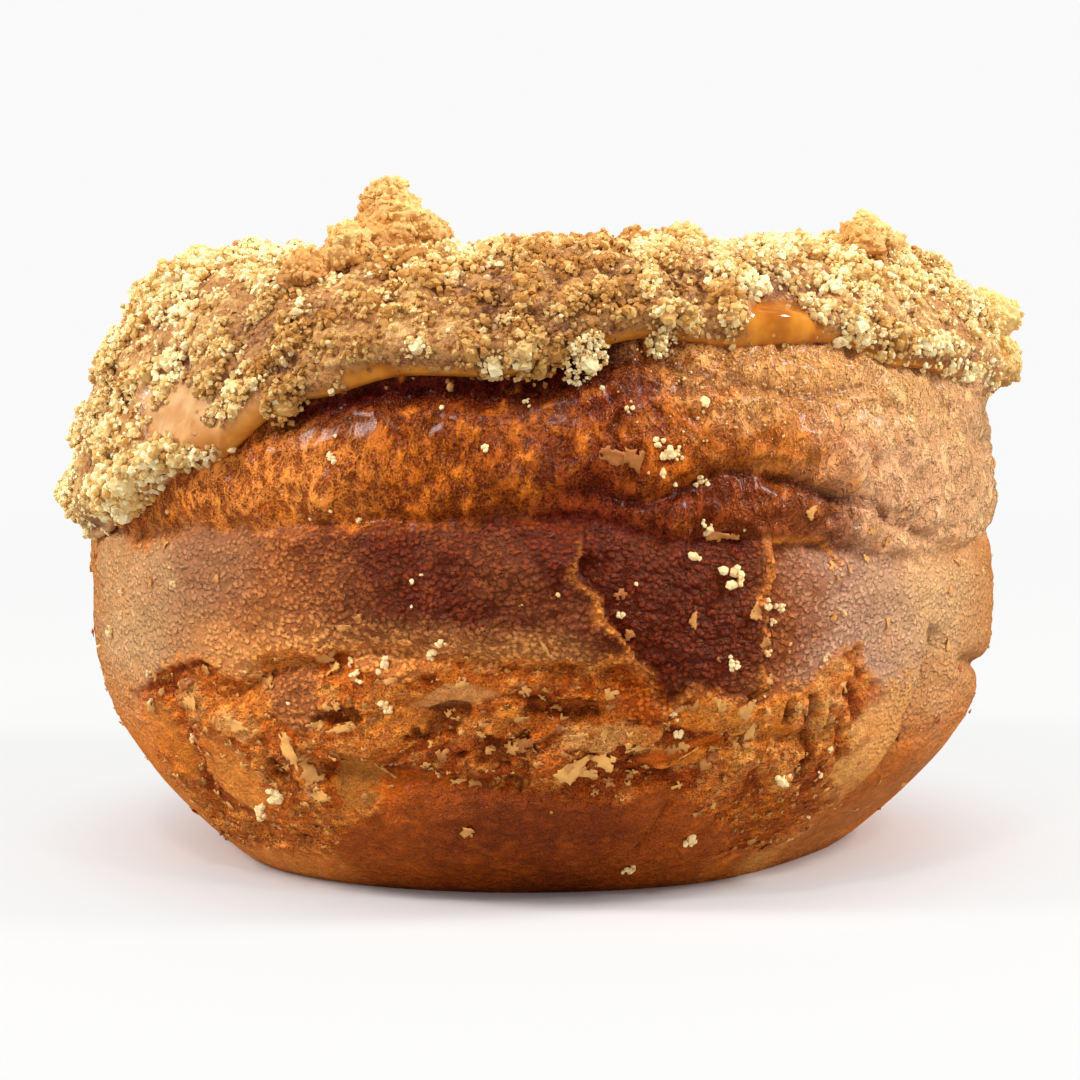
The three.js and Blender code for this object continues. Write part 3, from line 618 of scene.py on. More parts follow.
def crustColours(bearing, height, place, zone):
    broad = 0.5 + 0.5 * roughNoise(place, 8, 3, 61)
    mottle = 0.5 + 0.5 * roughNoise(place + 0.8 * roughNoise(place, 1.8, 2, 65)[:, None], 1.7, 3, 62)
    bent = place + 1.3 * np.stack([roughNoise(place, 2.6, 2, seed) for seed in (67, 68, 69)], -1)
    streak = 0.5 + 0.5 * roughNoise(bent * (1, 1, 0.6), 1.5, 3, 63)
    fine, ragged = 0.5 + 0.5 * zone["fine"], zone["ragged"]
    wander = 3 * ragged + 5 * roughNoise(place, 6, 2, 66)
    upper, middle, torn, rough = zone["upper"], zone["middle"], zone["torn"], zone["rough"]
    belowIcing = height - along(icingEdge, bearing)
    wobble = 0.3 * zone["fine"] + 0.8 * ragged

    aboveFoot = smooth(height + 2.0 * ragged + 4 * (broad - 0.5), 9, 21)
    bands = [
        (aboveFoot, toneRound(bearing + 1.2 * wander, "middle"), 1),
        (smooth(broad + 0.3 * mottle, 0.55, 0.95) * (1 - upper), "tanDeep",
         0.5 * (1 - 0.7 * between(bearing, -50, 46, 9))),
        (middle * between(bearing + 2.5 * ragged, -44, 5, 7) * smooth(27 - height - ragged, 0, 4),
         "softBrown", 0.85)]
    bands += [(middle * patch(bearing, height, *shape, wobble), tone, 0.85) for *shape, tone in tongues]
    bands += [
        (middle * between(bearing + wander, -16, 23, 8) * smooth(mottle * fine, 0.3, 0.5), "redBrown", 0.45),
        (middle * between(bearing, 5.5, 25.5, 1.5) * smooth(height, 22, 25), "leather", 0.75),
        (upper, toneRound(bearing + wander, "upper"), 1),
        (upper * smooth(broad * 0.7 + streak * 0.5, 0.55, 0.8) * (1 - between(bearing, 38, 90, 9)),
         "upperMid", 0.45),
        (upper * smooth(streak * mottle, 0.3, 0.5) * between(bearing, -60, 10, 10), "gold", 0.6),
        # Painted shade in the groove under the icing's overhang.
        (bell(belowIcing + 0.6, 2.6 + 0.8 * ragged) * between(bearing, -33, 13, 6), "upperDeep", 1),
        (upper * between(bearing + wander, 15, 62, 8) * smooth(belowIcing + 8 + 3 * ragged, 0, 5),
         "dusted", 0.6),
        (upper * between(bearing, 0, 40, 6) * smooth(along(rightFold, bearing) - height + 0.4, -0.4, 1.2),
         "redBrown", 0.85),
        (upper * smooth(fine * mottle, 0.34, 0.5), "gold", 0.4)]

    tears = []
    for *shape, tone in plates:
        here = patch(bearing, height, *shape, 0.4 * ragged + 0.25 * zone["fine"]) * np.maximum(torn, 0.6)
        tears += [(here, tone, 0.9), (here * smooth(mottle, 0.45, 0.7), "orangeDeep", 0.45)]
    shreds, golden = zone["shreds"], torn * zone["golden"]
    onRight = between(bearing, 12, 33, 4)
    strands = between(bearing, 22, 42, 4) * smooth(shreds + 0.4 * (fine - 0.5), 0.4, 0.65)
    tears += [
        (rough, "torn", 1),
        (rough * smooth(shreds, 0.4, 0.65), "orange", 0.7),
        (rough * smooth(shreds + 0.3 * mottle, 0.8, 0.98), "gold", 0.8),
        # Painted shade: the lowest shred layers are darker.
        (rough * smooth(0.45 - shreds, 0, 0.2), "tornDeep", 0.8),
        (rough * strands, "tornPale", 0.6),
        (golden, "gold", 0.65 + 0.25 * onRight),
        (golden * smooth(fine * 0.7 + mottle * 0.5, 0.42, 0.66), "golden", 0.9 - 0.75 * onRight),
        (zone["shredEdge"] * smooth(mottle, 0.4, 0.6), "tornPale", 0.7),
        # Painted shade in the hollows.
        (zone["hollow"], "cavity", 0.6)]

    details = [
        (zone["footRight"], "footRight", 0.85),
        (zone["footRight"] * smooth(mottle, 0.5, 0.7), "gold", 0.5),
        (zone["footLeft"] * smooth(mottle + 0.4 * broad, 0.5, 0.9), "orange", 0.6),
        (zone["lobe"], "lobeWarm", 0.8),
        (zone["lobe"] * between(bearing + 1.5 * wander, -13, 10, 7)
         * smooth(broad * 0.6 + mottle * 0.6, 0.4, 0.65), "lobe", 0.9),
        # Painted shade in the bottoms of the folds and clefts, and just past each cleft.
        (creaseShade(bearing, height, zone), "crease", 0.7),
        # Painted shadow just past each crack.
        (zone["beside"], "crease", 0.55),
        (zone["rim"] * (0.5 + 0.8 * fine), "rim", 1)]
    colour = layOver(toneRound(bearing + wander, "foot"), bands + tears + details)
    # Painted shade in the valleys of the wrinkles and pebbles and painted light on their crests, with some
    # random mottling.
    return colour * (0.72 + 0.44 * zone["wrinkle"] + 0.12 * mottle)[:, None]


def crustAngles(bearing, share):  # most rows go on the wall, where they show
    plan = crust
    wallFoot, holeFoot = 1.66 * np.pi, 1.26 * np.pi
    top = outerAngleAt(along(icingEdge, bearing) + plan["icingOverlap"])
    inner = innerAngleAt(icing["holeEdge"])
    wallEnd = plan["wallShare"]
    icingEnd = wallEnd + plan["icingShare"]
    holeEnd = icingEnd + plan["holeShare"]
    start = lengthAt(wallFoot - 2 * np.pi)
    wall = angleAtLength(start + (lengthAt(top) - start) * share / wallEnd)
    over = top + (inner - top) * (share - wallEnd) / plan["icingShare"]
    hole = inner + (holeFoot - inner) * (share - icingEnd) / plan["holeShare"]
    under = holeFoot + (wallFoot - holeFoot) * (share - holeEnd) / (1 - holeEnd)
    return np.select([share < wallEnd, share < icingEnd, share < holeEnd], [wall, over, hole], under)


def makeDough(material):
    bm = spunRing(crust["columns"], crust["rows"])
    bearing, share = ringPlaces(bm, crust["frontBias"])
    angle = crustAngles(bearing, share)
    height = sectionShape(angle)[1]
    place = ringPoint(bearing, angle)
    relief, zone = crustRelief(bearing, height, place)
    mesh = meshFrom("doughRing", bm, ringPoint(bearing, angle, 0, relief))
    paintColour(mesh, "crustColour", crustColours(bearing, height, place, zone))
    upper, middle, rough = zone["upper"], zone["middle"], zone["rough"]
    glazed = upper + 0.7 * zone["footRight"] + 0.6 * zone["torn"] * zone["plate"] + 0.4 * zone["golden"]
    busy = (0.26 + 0.7 * upper * (1 - between(bearing, 24, 100, 12)) + 0.35 * rough
            + 0.5 * middle * between(bearing, -36, 34, 14))
    paint(mesh, upper=upper, middle=middle, shredded=rough, glazed=np.clip(glazed, 0, 1),
          busy=np.clip(busy, 0, 1))
    dough = newPiece("doughRing", mesh, material)
    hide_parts("dough_ring")
    return finishMesh(dough)


def crustMaterial():
    finish = Finish("friedCrust")
    upper, middle = finish.mask("upper"), finish.mask("middle")
    glazed, shredded = finish.mask("glazed"), finish.mask("shredded")
    wrinkles = finish.noise(1.0, (1, 1, 0.6), roughness=0.6).step(0.32, 0.68)
    uneven = finish.noise(0.5, (1, 1, 1.2), roughness=0.6)
    pebbles = (1.2 - finish.cells(0.58, (1, 1, 1.2)) * 1.3 + uneven * 1.2 - 0.6).step(0.2, 1.0)
    fibres = finish.noise(0.9, (1, 1, 1.3), roughness=0.65).step(0.3, 0.7)
    fine = finish.noise(0.2, detail=2, roughness=0.7)
    other = 1 - (upper + middle).clipped()
    grain = upper * wrinkles + middle * pebbles + other * fibres
    tint = finish.mix((grain * 0.62 + fine.step(0.35, 0.65) * 0.38).step(0.15, 0.85),
                      (176, 138, 116), (304, 308, 310))  # painted shade in the valleys, painted light on the crests
    tint = finish.mix(finish.mask("busy"), (255, 255, 255), tint)
    colour = finish.mix(1.0, finish.colourMask("crustColour"), tint, "MULTIPLY")
    roughness = 0.32 - glazed * 0.19 - middle * 0.06 + fine * 0.24
    normal = finish.bump(wrinkles, upper * 0.9, 0.8)
    normal = finish.bump(pebbles, middle * 0.75 + 0.15, 0.36, normal)
    normal = finish.bump(fibres, shredded * 0.3 + other * 0.65, 0.7, normal)
    normal = finish.bump(fine, 0.8, 0.24, normal)
    return finish.surface(Base_Color=colour, Roughness=roughness, Normal=normal, Coat_Weight=glazed * 0.18,
                          Coat_Roughness=0.2, Specular_IOR_Level=0.4, Specular_Tint=(1, 0.7, 0.45, 1))


# The icing: its thickness and edges in mm, and its mesh.
icing = {"gap": 0.1, "thickness": 1.5, "lip": 0.35, "edgeThickness": 0.25, "holeEdge": 42.5, "rimRound": 0.05,
         "columns": 500, "rows": 190, "frontBias": 0.36, "underShare": 0.1, "bed": 1.0,
         "pool": (31, 6, 0.6), "sunk": 0.35}

barePatches = [  # bare caramel: bearing, height, half width in degrees, half height in mm
    (30.5, 50.4, 8.5, 2.3), (-44, 42.6, 8.5, 2.6), (-36, 42.6, 5, 2.2), (-50, 44, 4, 2), (-18, 46.6, 6, 0.7),
    (14.5, 50.2, 3, 0.8), (96, 47, 8, 2.5), (-140, 44, 10, 3), (160, 46, 12, 2.5), (-100, 36, 8, 2.5),
]


def icingAngle(bearing, over):  # over is 0 at the outer edge of the icing and 1 at its edge in the hole
    outer = lengthAt(outerAngleAt(along(icingEdge, bearing)))
    inner = lengthAt(innerAngleAt(icing["holeEdge"] + 1.4 * np.sin(np.radians(3 * bearing))))
    return angleAtLength(outer + (inner - outer) * over)


def icingThickness(bearing, over):
    fromEdge = np.minimum(over, 1 - over)
    ripple = 0.22 * np.sin(np.radians(bearing) * 11 + over * 9) * np.sin(over * 23 + np.radians(bearing) * 5)
    body = icing["thickness"] + icing["lip"] * bell(fromEdge - 0.05, 0.03) + ripple
    rounded = np.sqrt(np.clip(1 - (1 - np.clip(fromEdge / icing["rimRound"], 0, 1)) ** 2, 0, 1))
    return icing["edgeThickness"] + (body - icing["edgeThickness"]) * rounded


def icingPoint(bearing, over, above=0.0):
    return ringPoint(bearing, icingAngle(bearing, over), icing["gap"] + icingThickness(bearing, over) + above)


def crumbCover(bearing, over):  # how thickly crumbs lie, from 0 to 1
    place = icingPoint(bearing, over)
    height = place[:, 2] + 0.9 * roughNoise(place, 2.2, 3, 56)
    aside = bearing + 2.4 * roughNoise(place, 3, 3, 57)
    bare = sum(bell(turnBetween(at, aside), wide) ** 2 * bell(height - level, high) * (over < 0.4)
               for at, level, wide, high in barePatches)
    return np.clip(1.15 - 2.2 * bare, 0, 1) * smooth(over, -0.012, 0.01) * (1 - smooth(over, 0.9, 0.98))


def icingBed(bearing, over, place):  # the grainy bed that the crumbs make of the icing, and its cover
    cover = smooth(crumbCover(bearing, over), 0.1, 0.95) * smooth(np.minimum(over, 1 - over), 0.0, 0.02)
    lumpy = (0.45 + 0.42 * softNoise(place, 3.4, 53) + 0.36 * softNoise(place, 1.4, 54)
             + 0.34 * softNoise(place, 0.75, 55))
    return icing["bed"] * cover * lumpy + 0.4 * (1 - cover) * roughNoise(place, 5, 3, 51), cover


def makeIcing(material):
    plan = icing
    bm = spunRing(plan["columns"], plan["rows"])
    bearing, share = ringPlaces(bm, plan["frontBias"])
    above = share < 1 - plan["underShare"]
    over = np.where(above, share / (1 - plan["underShare"]), (1 - share) / plan["underShare"])
    over = np.where(above, over - 0.035 * np.sin(2 * np.pi * over), over)  # finer rows near both edges
    place = icingPoint(bearing, over)
    bed, cover = icingBed(bearing, over, place)
    bed = bed * smooth(np.minimum(over, 1 - over), 0.0, 0.04)
    poolAt, poolWidth, poolDepth = plan["pool"]
    pool = poolDepth * bell(turnBetween(poolAt, bearing), poolWidth) * bell(over - 0.035, 0.03)
    top = icingPoint(bearing, over, bed + pool)
    under = ringPoint(bearing, icingAngle(bearing, over), -plan["sunk"])
    mesh = meshFrom("caramelIcing", bm, np.where(above[:, None], top, under))
    amber = np.maximum(between(bearing, -28, 64, 4),
                       bell(over, 0.05) * between(bearing, -46, -28, 4))
    paint(mesh, cover=cover, rise=np.clip(bed / plan["bed"], 0, 1), amber=amber)
    piece = newPiece("caramelIcing", mesh, material)
    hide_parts("caramel_icing")
    return finishMesh(piece)


def caramelMaterial():
    finish = Finish("caramelIcing")
    broad = finish.noise(4, detail=3)
    streaks = finish.noise(1.6, (1, 1, 0.5), detail=3)
    speck = finish.noise(0.42, roughness=0.7)
    cover, rise, amber = finish.mask("cover"), finish.mask("rise"), finish.mask("amber")
    # Away from the amber mask the caramel is pale tan: its own paler caramel, and a painted reflection of the
    # bright room on its gloss.
    tan = finish.mix(broad.step(0.35, 0.65), (226, 180, 128), (200, 144, 88))
    smoothIcing = finish.mix(amber, tan, finish.mix(broad.step(0.35, 0.65), (216, 138, 46), (180, 98, 22)))
    smoothIcing = finish.mix(streaks.step(0.48, 0.68) * 0.5, smoothIcing, (172, 100, 40))
    # The bed is dark brown where it is low and pale where it is high: caramel between the crumbs with a painted
    # shade in the gaps, and crumb-coloured tops.
    lift = (rise * 0.6 + speck * 1.3 - 0.45).clipped()
    bed = finish.mix(lift.step(0.1, 0.5), (112, 58, 18), (196, 132, 64))
    bed = finish.mix(lift.step(0.5, 0.9), bed, (238, 194, 120))
    colour = finish.mix(cover, smoothIcing, bed)
    normal = finish.bump(speck, cover * 0.95 + 0.03, 0.45)
    return finish.surface(Base_Color=colour, Roughness=0.12 + cover * 0.46, Normal=normal,
                          Specular_IOR_Level=0.6)


# The crumbs: how many there are, and their sizes in mm.
crumbs = {"clumps": 2450, "loose": 19000, "perArea": 8.6, "radii": (0.14, 0.36), "clumpRadius": (0.5, 1.7),
          "clumpHeight": (0.3, 1.3), "grain": (0.21, 0.34),
          "aroundRadius": 37, "overLength": 52}  # mm round the ring and across the icing, for placing grains

# Clumps that stand out: bearing, position over the icing, radius, height, how brown, and grain size.
bigClumps = [
    (5.5, -0.012, 1.9, 1.7, 0.0, 0.2), (14.5, -0.01, 1.3, 1.1, 0.08, 0.2), (0.5, 0.0, 1.5, 1.2, 0.7, 0.25),
    (-1.5, 0.012, 1.4, 1.1, 0.15, 0.23), (-4.5, 0.012, 1.3, 1.0, 0.15, 0.24),
    (-7, 0.03, 1.5, 1.2, 0.55, 0.27), (-30, 0.12, 1.9, 1.4, 0.55, 0.25), (-29.6, 0.0, 1.7, 1.3, 0.6, 0.27),
    (-35.5, 0.1, 1.9, 1.2, 0.2, 0.25), (-38, 0.085, 1.2, 0.9, 0.25, 0.25),
    (-35.2, 0.055, 1.1, 0.9, 0.25, 0.24), (-46.5, 0.04, 2.0, 1.7, 0.2, 0.34),
    (-52, 0.035, 2.2, 1.9, 0.2, 0.34), (-57.5, 0.06, 2.2, 1.7, 0.1, 0.34), (-60, 0.13, 2.1, 1.5, 0.1, 0.34),
    (-53, 0.012, 1.8, 1.3, 0.25, 0.3), (-60, 0.02, 2.0, 1.4, 0.2, 0.3), (-52, 0.12, 1.3, 1.0, 0.3, 0.27),
    (-49, 0.17, 1.4, 1.1, 0.3, 0.27), (-20, 0.15, 1.6, 1.2, 0.4, 0.27), (-13, 0.19, 1.8, 1.3, 0.6, 0.28),
    (-17, 0.2, 1.5, 1.2, 0.6, 0.28), (23, 0.035, 1.3, 1.0, 0.35, 0.23), (17.8, 0.018, 1.0, 0.8, 0.2, 0.22),
    (35, 0.08, 1.1, 0.9, 0.15, 0.27), (41.5, 0.03, 1.5, 1.2, 0.15, 0.25), (43, 0.015, 1.0, 0.9, 0.2, 0.23),
    (48, 0.04, 1.7, 1.2, 0.5, 0.3), (49, 0.2, 1.9, 1.5, 0.3, 0.34), (46, 0.27, 1.8, 1.4, 0.3, 0.3),
    (10, 0.3, 2.2, 1.5, 0.5, 0.3), (-2, 0.28, 1.8, 1.4, 0.5, 0.28), (60, 0.2, 2.0, 1.6, 0.2, 0.3),
    (-70, 0.3, 2.2, 1.8, 0.25, 0.3), (-64, 0.42, 2.3, 1.9, 0.3, 0.34), (-40, 0.42, 2.2, 1.7, 0.3, 0.3),
]


# Little crystals of six, twenty and two dozen faces, and craggy cores for the big clumps, four of each.
def grainShapes(seed):
    chance = random.Random(seed)
    shapes = []
    for kind in range(16):
        bm = bmesh.new()
        if 4 <= kind < 8 or kind >= 12:
            bmesh.ops.create_icosphere(bm, subdivisions=1 if kind < 8 else 3, radius=1)
        else:
            bmesh.ops.create_cube(bm, size=1.35)
        if 8 <= kind < 12:
            bmesh.ops.subdivide_edges(bm, edges=bm.edges[:], cuts=1, use_grid_fill=True)
        for v in bm.verts:
            if kind < 12:
                v.co = v.co.lerp(v.co.normalized(), 0.7) * chance.uniform(0.76, 1.2)
            else:
                craggy = 0.1 * math.sin(9 * v.co.x + kind) * math.cos(8 * v.co.y)
                v.co *= 0.92 + craggy + chance.uniform(-0.07, 0.09)
        shapes.append(shapeArrays(bm))
    return shapes


def shapeArrays(bm):
    bm.verts.ensure_lookup_table()
    points = np.array([v.co for v in bm.verts])
    faces = [[v.index for v in f.verts] for f in bm.faces]
    bm.free()
    return points, faces


def joinCopies(name, shapes, kinds, axes, places, masks):  # axes: each copy's turned and scaled axes
    corners, loops, totals, owners, start = [], [], [], [], 0
    for kind, (points, faces) in enumerate(shapes):
        chosen = np.flatnonzero(kinds == kind)
        if not len(chosen):
            continue
        turned = np.einsum("vj,njk->nvk", points, axes[chosen]) + places[chosen, None, :]
        corners.append(turned.reshape(-1, 3))
        flat = np.concatenate([np.array(f) for f in faces])
        offsets = start + np.arange(len(chosen)) * len(points)
        loops.append((flat[None] + offsets[:, None]).ravel())
        totals.append(np.tile([len(f) for f in faces], len(chosen)))
        owners.append(np.repeat(chosen, len(points)))
        start += len(chosen) * len(points)
    corners, loops, totals, owners = [np.concatenate(v) for v in (corners, loops, totals, owners)]
    mesh = bpy.data.meshes.new(name)
    mesh.vertices.add(len(corners))
    mesh.vertices.foreach_set("co", corners.astype(np.float32).ravel())
    mesh.loops.add(len(loops))
    mesh.loops.foreach_set("vertex_index", loops.astype(np.int32))
    mesh.polygons.add(len(totals))
    mesh.polygons.foreach_set("loop_start", np.concatenate([[0], np.cumsum(totals)[:-1]]).astype(np.int32))
    mesh.polygons.foreach_set("loop_total", totals.astype(np.int32))
    mesh.update(calc_edges=True)
    paint(mesh, **{key: values[owners] for key, values in masks.items()})
    return mesh


def randomAxes(chance, sizes, uneven=0.3):
    count = len(sizes)
    turns = chance.normal(size=(count, 4))
    turns /= np.linalg.norm(turns, axis=1)[:, None]
    w, x, y, z = turns.T
    spins = np.stack([1 - 2 * (y * y + z * z), 2 * (x * y - w * z), 2 * (x * z + w * y),
                      2 * (x * y + w * z), 1 - 2 * (x * x + z * z), 2 * (y * z - w * x),
                      2 * (x * z - w * y), 2 * (y * z + w * x), 1 - 2 * (x * x + y * y)], -1).reshape(-1, 3, 3)
    return spins * (sizes[:, None] * chance.uniform(1 - uneven, 1 + uneven, (count, 3)))[:, :, None]


# Grains heaped round a bigger one.
def clumpGrains(chance, at, across, radius, height, brown, grain, core=0.6):
    count = max(3, int(crumbs["perArea"] * (radius * 0.36 / grain) ** 2 * (0.8 + 0.5 * height)))
    away = radius * np.sqrt(chance.uniform(0, 1, count))
    turn = chance.uniform(0, 2 * np.pi, count)
    rise = height * np.sqrt(np.clip(1 - (away / radius) ** 2, 0, 1)) * chance.uniform(0.6, 1, count)
    size = grain * chance.uniform(0.6, 1.4, count)
    tone = np.clip(brown + chance.normal(0, 0.2, count), 0, 1)
    away[0], rise[0], size[0] = 0, height * (0.5 * core - 0.15), core * min(radius, height * 1.15)
    return np.stack([at + np.degrees(away * np.cos(turn) / crumbs["aroundRadius"]),
                     across + away * np.sin(turn) / crumbs["overLength"], rise, size, tone], -1)


def crumbPlaces(chance):  # grains gathered in clumps and lying loose, as bearing, over, height, size, tone
    plan = crumbs
    rows = [clumpGrains(chance, *clump, core=0.66) for clump in bigClumps]
    at = chance.uniform(-180, 180, plan["clumps"])
    at = np.where(chance.uniform(0, 1, len(at)) < 0.12, chance.uniform(-70, 70, len(at)), at)
    across = chance.uniform(-0.01, 0.93, len(at))
    kept = chance.uniform(0, 1, len(at)) < crumbCover(at, across)
    # Painted light: clumps are paler on the left and right sides.
    paintedSideLight = 0.32 * between(at, 26, 90, 10) + 0.4 * between(at, -110, -44, 8)
    shade = 0.42 + 0.22 * softNoise(icingPoint(at, across), 9, 71) - paintedSideLight
    for b, o, tint in zip(at[kept], across[kept], shade[kept]):
        share = chance.uniform(0, 1) ** 2.0
        radius = plan["clumpRadius"][0] + (plan["clumpRadius"][1] - plan["clumpRadius"][0]) * share
        height = plan["clumpHeight"][0] + (plan["clumpHeight"][1] - plan["clumpHeight"][0]) * share
        grain = chance.uniform(*plan["grain"])
        rows.append(clumpGrains(chance, b, o, radius, height, tint + chance.normal(0, 0.2), grain))
    at = chance.uniform(-180, 180, plan["loose"])
    across = chance.uniform(-0.015, 0.96, len(at))
    kept = chance.uniform(0, 1, len(at)) < 0.1 + 0.9 * crumbCover(at, across)
    size = plan["radii"][0] + (plan["radii"][1] - plan["radii"][0]) * chance.uniform(0, 1, len(at)) ** 1.5
    # Painted light: loose grains are paler on the left and right sides.
    tone = np.clip(chance.normal(0.45, 0.25, len(at)) - 0.3 * between(at, 26, 90, 10)
                   - 0.4 * between(at, -110, -44, 8), 0, 1)
    rows.append(np.stack([at, across, 0.05 * size, size, tone], -1)[kept])
    return np.concatenate(rows).T


def makeCrumbs(materials):
    chance = np.random.default_rng(17)
    bearing, over, height, size, tone = crumbPlaces(chance)
    height = height * (1 - 0.45 * smooth(np.abs(bearing), 105, 135))
    low = np.clip(over, -0.02, 1)
    bed, _ = icingBed(bearing, low, icingPoint(bearing, low))
    past = np.minimum(over, 0)  # a clump at the edge hangs a little below it
    above = bed * smooth(np.minimum(low, 1 - low), 0, 0.04) + height
    places = icingPoint(bearing, np.clip(over, 0, 0.98), above)
    places[:, 2] += past * crumbs["overLength"] * between(bearing, -32, 17, 3)
    # Grains low in the heap, and those hanging below the edge, are darkened: caramel soaked into them and a
    # painted shade.
    soaked = np.clip(0.85 - (height + 0.9 * bed) / 1.1 - 0.6 * (size > 0.5) + 10 * past, 0, 1)
    # More painted shade along the front edge, under the overhang.
    soaked = np.clip(soaked + 0.25 * between(bearing, -26, 8, 6) * (1 - smooth(over, 0.06, 0.16)), 0, 1)
    # Less darkening on the left and right sides, a painted light there.
    soaked *= 1 - 0.75 * np.maximum(between(bearing, -110, -44, 5), between(bearing, 36, 110, 8))
    shapes = grainShapes(5)
    kinds = chance.integers(0, 4, len(size)) + 4 * (size > 0.34) + 4 * (size > 0.5) + 4 * (size > 0.95)
    axes = randomAxes(chance, size)
    cut = np.quantile(tone, np.arange(1, len(materials)) / len(materials))
    for number, (name, material) in enumerate(materials.items()):
        chosen = np.digitize(tone, cut) == number
        mesh = joinCopies(name, shapes, kinds[chosen], axes[chosen], places[chosen],
                          {"tone": tone[chosen], "soaked": soaked[chosen]})
        finishMesh(newPiece(name, mesh, material), rounded=False)
        triangles = sum(len(p.vertices) - 2 for p in mesh.polygons)
        print(name, chosen.sum(), "grains,", triangles, "triangles")


def crumbMaterial(name, pale, golden, deep):
    finish = Finish(name)
    tone = finish.mask("tone")
    mottled = finish.noise(0.6, detail=2)
    colour = finish.mix((tone * 0.9 + mottled * 0.6 - 0.3).clipped(), pale, golden)
    # The soaked mask darkens a grain towards its deep colour: soaked caramel and painted shade.
    colour = finish.mix((finish.mask("soaked") * (0.3 + mottled * 0.9)).clipped(), colour, deep)
    return finish.surface(Base_Color=colour, Roughness=0.62, Normal=finish.bump(mottled, 0.5, 0.15),
                          Specular_IOR_Level=0.4)


# Flakes and stray crumbs on the wall.
# Flakes: bearing, height, length, width, turn, lift at one end, curl, tone.
wallFlakes = [
    (-26.2, 22.2, 2.9, 1.1, 18, 0.5, 0.3, 0.55), (-24.4, 21.5, 2.2, 0.9, 30, 0.7, 0.3, 0.3),
    (-33.4, 19.9, 2.0, 0.9, -60, 0.5, 0.5, 0.45), (-18.3, 24.4, 1.1, 0.8, 80, 0.4, 0.2, 0.5),
    (-21.8, 25.4, 1.6, 0.6, 10, 0.2, 0.1, 0.7), (-20.0, 26.3, 0.8, 0.6, 50, 0.2, 0.1, 0.7),
    (1.0, 24.1, 2.2, 0.35, -55, 0.7, 0.6, 0.35), (-26.6, 16.7, 1.6, 0.6, 5, 0.5, 0.3, 0.4),
    (-23.6, 16.3, 2.6, 0.7, 12, 0.5, 0.3, 0.35), (4.6, 13.1, 3.6, 1.6, 28, 0.6, 0.3, 0.15),
    (7.9, 13.9, 2.2, 1.3, -12, 0.6, 0.3, 0.1), (5.8, 12.6, 2.6, 0.9, 8, 0.4, 0.2, 0.2),
    (7.8, 16.5, 1.2, 0.5, 85, 0.3, 0.1, 0.4), (-1.9, 14.9, 2.4, 1.0, 25, 0.5, 0.3, 0.85),
    (-9.6, 11.4, 1.5, 0.6, 5, 0.3, 0.1, 0.3), (-9.2, 8.0, 1.6, 1.1, 20, 0.3, 0.2, 0.45),
    (8.6, 39.7, 3.2, 1.2, -12, 0.4, 0.2, 0.9), (11.2, 39.4, 3.0, 1.8, -14, 0.5, 0.3, 0.85),
    (20.3, 33.2, 2.4, 0.8, -4, 0.5, 0.2, 0.75), (22.6, 33.1, 1.4, 0.7, 10, 0.4, 0.2, 0.7),
    (-30.6, 14.4, 3.4, 1.2, -72, 0.5, 0.3, 0.25), (-29.2, 11.9, 2.6, 1.5, -60, 0.5, 0.4, 0.45),
    (-28.2, 10.2, 2.4, 1.2, 15, 0.6, 0.4, 0.3), (-19, 12.2, 2.6, 0.3, -45, 0.5, 0.6, 0.5),
    (36.8, 30.2, 1.5, 0.9, 40, 0.3, 0.1, 0.4), (42.6, 30.3, 0.9, 0.5, 70, 0.2, 0.1, 0.35),
    (45.4, 24.4, 1.3, 0.35, 88, 0.3, 0.1, 0.4), (46.2, 31.4, 1.6, 0.45, 85, 0.4, 0.1, 0.4),
    (60, 26.3, 0.8, 0.5, 80, 0.3, 0.1, 0.3), (60.9, 21.3, 1.4, 0.5, 80, 0.3, 0.1, 0.3),
    (31.8, 34.8, 1.2, 0.8, 60, 0.3, 0.1, 0.4), (41.9, 32.8, 0.8, 0.6, 30, 0.3, 0.1, 0.35),
    (25.6, 24.2, 1.1, 0.8, 70, 0.5, 0.2, 0.6), (24.6, 26.8, 1.7, 1.0, 60, 0.5, 0.3, 0.6),
    (26.7, 20.8, 1.1, 0.8, 20, 0.4, 0.2, 0.6), (17.3, 26.3, 1.6, 0.6, 75, 0.5, 0.2, 0.65),
    (10.2, 25.2, 1.0, 0.8, 20, 0.4, 0.2, 0.75), (35.9, 25.7, 0.9, 0.5, 60, 0.3, 0.1, 0.5),
    (-49.3, 31.2, 0.9, 0.6, 80, 0.2, 0.1, 0.4), (-52.3, 27.7, 0.8, 0.6, 70, 0.2, 0.1, 0.4),
    (-39.2, 28.8, 0.8, 0.6, 90, 0.2, 0.1, 0.6), (-55.4, 30.8, 0.7, 0.5, 70, 0.2, 0.1, 0.4),
    (-16.6, 21.0, 1.5, 0.5, 15, 0.4, 0.2, 0.6), (-45, 17.6, 2.4, 1.4, 20, 0.5, 0.3, 0.3),
    (-37.6, 16.2, 2.2, 1.1, -20, 0.5, 0.3, 0.35), (23.6, 18.6, 2.0, 1.1, 75, 0.6, 0.4, 0.35),
    (20.6, 19.2, 1.6, 0.9, -60, 0.6, 0.4, 0.4), (25.3, 16.6, 2.4, 0.7, 80, 0.6, 0.4, 0.25),
    (16, 18.4, 1.5, 0.8, 40, 0.5, 0.3, 0.45), (12.5, 15.2, 2.6, 0.6, 8, 0.5, 0.3, 0.4),
    (18.5, 14.6, 2.8, 0.5, 12, 0.5, 0.3, 0.3),
]
